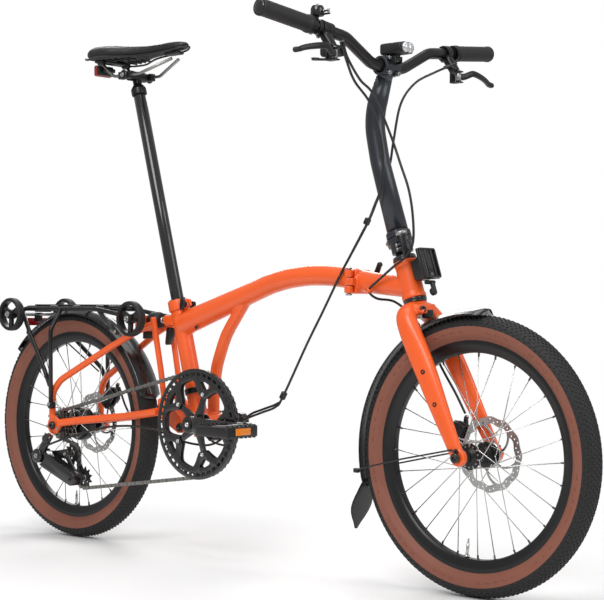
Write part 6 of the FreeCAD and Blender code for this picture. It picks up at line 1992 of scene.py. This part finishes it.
def rear_light(clamp_at):
    """A red lens with ribs in a black cup under the saddle's back, on a bracket."""
    rear_x = clamp_at.x / MM - SADDLE_BACK
    at = vec((rear_x + 8, 0, clamp_at.z / MM + 22))
    pieces = [block("lens", (13, 45, 25), at - X * (3.4 * MM), RED, bevel=4.5),
              block("cup", (9, 42, 22), at + X * (5 * MM), PLASTIC, bevel=2.6),
              block("bracket", (18, 28, 9), at + X * (15 * MM), PLASTIC, bevel=2),
              bolt("bracket_bolt", line_mm(at + Vector((18, 0, -4)) * MM), -Z, 3.4, 2.4, STEEL)]
    for k in range(7):
        pieces.append(block("lens_rib", (1.2, 2, 19), at + Vector((-10, -18 + 6 * k, 0)) * MM, RED,
                            bevel=0.5))
    fit("rear_light", pieces, "seatpost", "red_lens")


seatpost()
clamp_place = saddle_clamp()
saddle(clamp_place)
rear_light(clamp_place)


# ---------------------------------------------------------------- cables
def cable(name, stretches, radius=2.4, per=8):
    """One smooth cable housing; each stretch rides one body, or stays fixed in place, unattached, where it
    crosses the joint between two.
    """
    points = [stretches[0][1][0]]
    ends = [0]
    for _, more in stretches:
        points += more[1:] if more is stretches[0][1] else more
        ends.append(len(points) - 1)
    path = spline(points, per)
    for k, (bodies, _) in enumerate(stretches):
        first, last = ends[k] * per, ends[k + 1] * per
        part = sweep(f"{name}_{k + 1}", path[first:last + 1], (radius, radius), CABLE, 12)
        if len(bodies) == 2:
            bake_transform(part)
        else:
            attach(part, bodies[0])
        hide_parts("cables")


def sleeve(name, at, way, radius, length, body, finish=None):
    """A small band that holds cables together."""
    piece = lathe(name, rounded_profile([(0.2, -length / 2), (radius, -length / 2), (radius, length / 2),
                                         (0.2, length / 2)], 1), vec(at), Vector(way), finish or PLASTIC,
                                         24)
    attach(piece, body)


def cables():
    """Front brake, rear brake and gear housings, with the bands and guides that hold them."""
    cable("front_brake_cable", (
        (("handlepost",), [(378, -172, 1005), (366, -146, 980), (366, -110, 943), (370, -75, 918),
                           (384, -42, 846),
                           (404, -36, 789), (422, -34, 741)]),
        (("handlepost", "fork"), [(431, -33, 690), (431, -33, 643)]),
        (("fork", "front_frame"), [(413, -33, 617), (384, -31, 600), (345, -29, 574), (322, -27, 556)]),
        (("front_frame", "fork"), [(328, -12, 541), (350, 18, 534), (380, 42, 500), (404, 54, 456)]),
        (("fork",), [(431, 62, 405), (458, 66, 362), (480, 66, 326)]),
    ))
    cable("rear_brake_cable", (
        (("handlepost",), [(378, 172, 1005), (352, 132, 984), (338, 90, 960), (332, 54, 917),
                           (326, 40, 846),
                           (322, 34, 800), (314, 22, 758), (312, 2, 722)]),
        (("handlepost", "fork"), [(306, -9, 692), (286, -13, 657)]),
        (("fork", "front_frame"), [(262, -16, 618), (244, -19, 588)]),
        (("front_frame", "main_frame"), [(204, -23, 518), (164, -27, 450)]),
        (("main_frame",), [(104, -28, 348), (86, -27, 331), (47, -26, 318), (5, -22, 304), (-40, -6, 276),
                           (-72, 18, 244), (-110, 30, 232), (-150, 36, 234)]),
        (("main_frame", "rear_frame"), [(-180, 44, 242), (-215, 54, 256), (-250, 60, 264)]),
        (("rear_frame",), [(-350, 58, 268), (-440, 72, 262), (-486, 82, 292), (-508, 80, 338)]),
    ))
    cable("gear_cable", (
        (("handlepost",), [(372, -172, 1004), (362, -140, 968), (354, -110, 940), (354, -60, 898),
                           (362, -38, 819),
                           (358, -36, 753), (338, -30, 716)]),
        (("handlepost", "fork"), [(312, -16, 690), (290, -18, 655)]),
        (("fork", "front_frame"), [(266, -22, 616), (248, -25, 586)]),
        (("front_frame", "main_frame"), [(208, -29, 516), (168, -33, 448)]),
        (("main_frame",), [(108, -33.5, 347), (88, -33, 325), (47, -32, 311), (5, -31, 297),
                           (-40, -28, 276),
                           (-76, -26, 248), (-110, -26, 236), (-150, -28, 236)]),
        (("main_frame", "rear_frame"), [(-180, -34, 241), (-215, -42, 252), (-250, -48, 262)]),
        (("rear_frame",), [(-320, -54, 266), (-400, -62, 258), (-480, -84, 236), (-545, -96, 214),
                           (-574, -94, 200)]),
    ))
    way = (-0.5, -0.02, -0.865)
    sleeve("upper_cable_band", (304, -12, 688), way, 6.4, 12, "handlepost")
    sleeve("lower_cable_band", (106, -31, 348), way, 6.4, 14, "main_frame")
    guide = lathe("cable_guide", [(4.0, -3), (6.6, -3), (6.6, 3), (4.0, 3)], vec((322, -27, 556)),
                  Vector((0.5, 0.2, 1)),
                  ORANGE_PART, 28)
    place(guide, "front_frame", slot="frame_paint")


cables()


# ---------------------------------------------------------------- studio
FLOOR_REACH = 30
FADE_FROM, FADE_TO = 1.0, 2.6
AIR_LIT, AIR_SEEN = 0.48, 1.0
CAMERA_AT = (2.2354, -2.344, 0.522)
CAMERA_ANGLES = (41.975, -0.288, 0.298)
CAMERA_LENS = 94.38
LIGHTS = (("key", (1.2, -3.2, 3.4), 2.6, 102), ("fill", (3.6, 0.6, 2.0), 2.4, 40),
          ("back", (-2.6, 2.6, 2.8), 2.2, 60), ("top", (0, 0, 4.2), 3.0, 60))


def air_strength(nodes, links):
    """The studio air looks white to the camera and lights the bicycle more softly."""
    ray = nodes.new("ShaderNodeLightPath")
    strength = nodes.new("ShaderNodeMapRange")
    strength.inputs["To Min"].default_value = AIR_LIT
    strength.inputs["To Max"].default_value = AIR_SEEN
    links.new(ray.outputs["Is Camera Ray"], strength.inputs["Value"])
    return strength.outputs["Result"]


def fade_to_air(paint, near, far):
    """Let the floor melt into the white studio air away from the bicycle."""
    nodes, links = paint.node_tree.nodes, paint.node_tree.links
    out = next(node for node in nodes if node.bl_idname == "ShaderNodeOutputMaterial")
    surface = out.inputs["Surface"].links[0].from_socket
    where = nodes.new("ShaderNodeNewGeometry")
    away = nodes.new("ShaderNodeVectorMath")
    away.operation = "LENGTH"
    links.new(where.outputs["Position"], away.inputs[0])
    share = nodes.new("ShaderNodeMapRange")
    share.interpolation_type = "SMOOTHSTEP"
    share.inputs["From Min"].default_value = near
    share.inputs["From Max"].default_value = far
    links.new(away.outputs["Value"], share.inputs["Value"])
    glow = nodes.new("ShaderNodeEmission")
    links.new(air_strength(nodes, links), glow.inputs["Strength"])
    either = nodes.new("ShaderNodeMixShader")
    links.new(share.outputs["Result"], either.inputs[0])
    links.new(surface, either.inputs[1])
    links.new(glow.outputs[0], either.inputs[2])
    links.new(either.outputs[0], out.inputs["Surface"])


def studio():
    """A pale floor, soft lights and a view of the drive side from ahead."""
    floor_paint = material("studio_floor", (0.84, 0.84, 0.84), 0.75, grain=40, bump=0.02, vary=0.05,
                           mottle=0.02)
    fade_to_air(floor_paint, FADE_FROM, FADE_TO)
    verts = [(-FLOOR_REACH, -FLOOR_REACH, 0), (FLOOR_REACH, -FLOOR_REACH, 0),
             (FLOOR_REACH, FLOOR_REACH, 0), (-FLOOR_REACH, FLOOR_REACH, 0)]
    floor = new_piece("floor", verts, [(0, 1, 2, 3)], floor_paint)
    bpy.context.scene.view_settings.view_transform = "Standard"
    world = bpy.data.worlds.new("studio_air")
    bpy.context.scene.world = world
    world.use_nodes = True
    nodes, links = world.node_tree.nodes, world.node_tree.links
    air = nodes["Background"]
    air.inputs["Color"].default_value = (1, 1, 1, 1)
    links.new(air_strength(nodes, links), air.inputs["Strength"])
    for name, place_at, size, power in LIGHTS:
        lamp = bpy.data.lights.new(name, "AREA")
        lamp.shape = "DISK"
        lamp.size = size
        lamp.energy = power
        holder = bpy.data.objects.new(name, lamp)
        bpy.context.scene.collection.objects.link(holder)
        holder.location = place_at
        holder.rotation_euler = (Vector((0, 0, 0.5)) - Vector(place_at)).to_track_quat("-Z", "Y").to_euler()
    turn, tip, roll = (math.radians(angle) for angle in CAMERA_ANGLES)
    ahead = Vector((-math.sin(turn) * math.cos(tip), math.cos(turn) * math.cos(tip), -math.sin(tip)))
    right = Vector((math.cos(turn), math.sin(turn), 0))
    up = right.cross(ahead)
    tilted = right * math.cos(roll) + up * math.sin(roll)
    upright = tilted.cross(ahead)
    camera = bpy.data.cameras.new("view")
    camera.sensor_width = 36
    camera.lens = CAMERA_LENS
    camera.clip_end = 60
    eye = bpy.data.objects.new("view", camera)
    bpy.context.scene.collection.objects.link(eye)
    eye.matrix_world = Matrix.Translation(CAMERA_AT) @ Matrix(
        (tilted, upright, -ahead)).transposed().to_4x4()
    bpy.context.scene.camera = eye


studio()
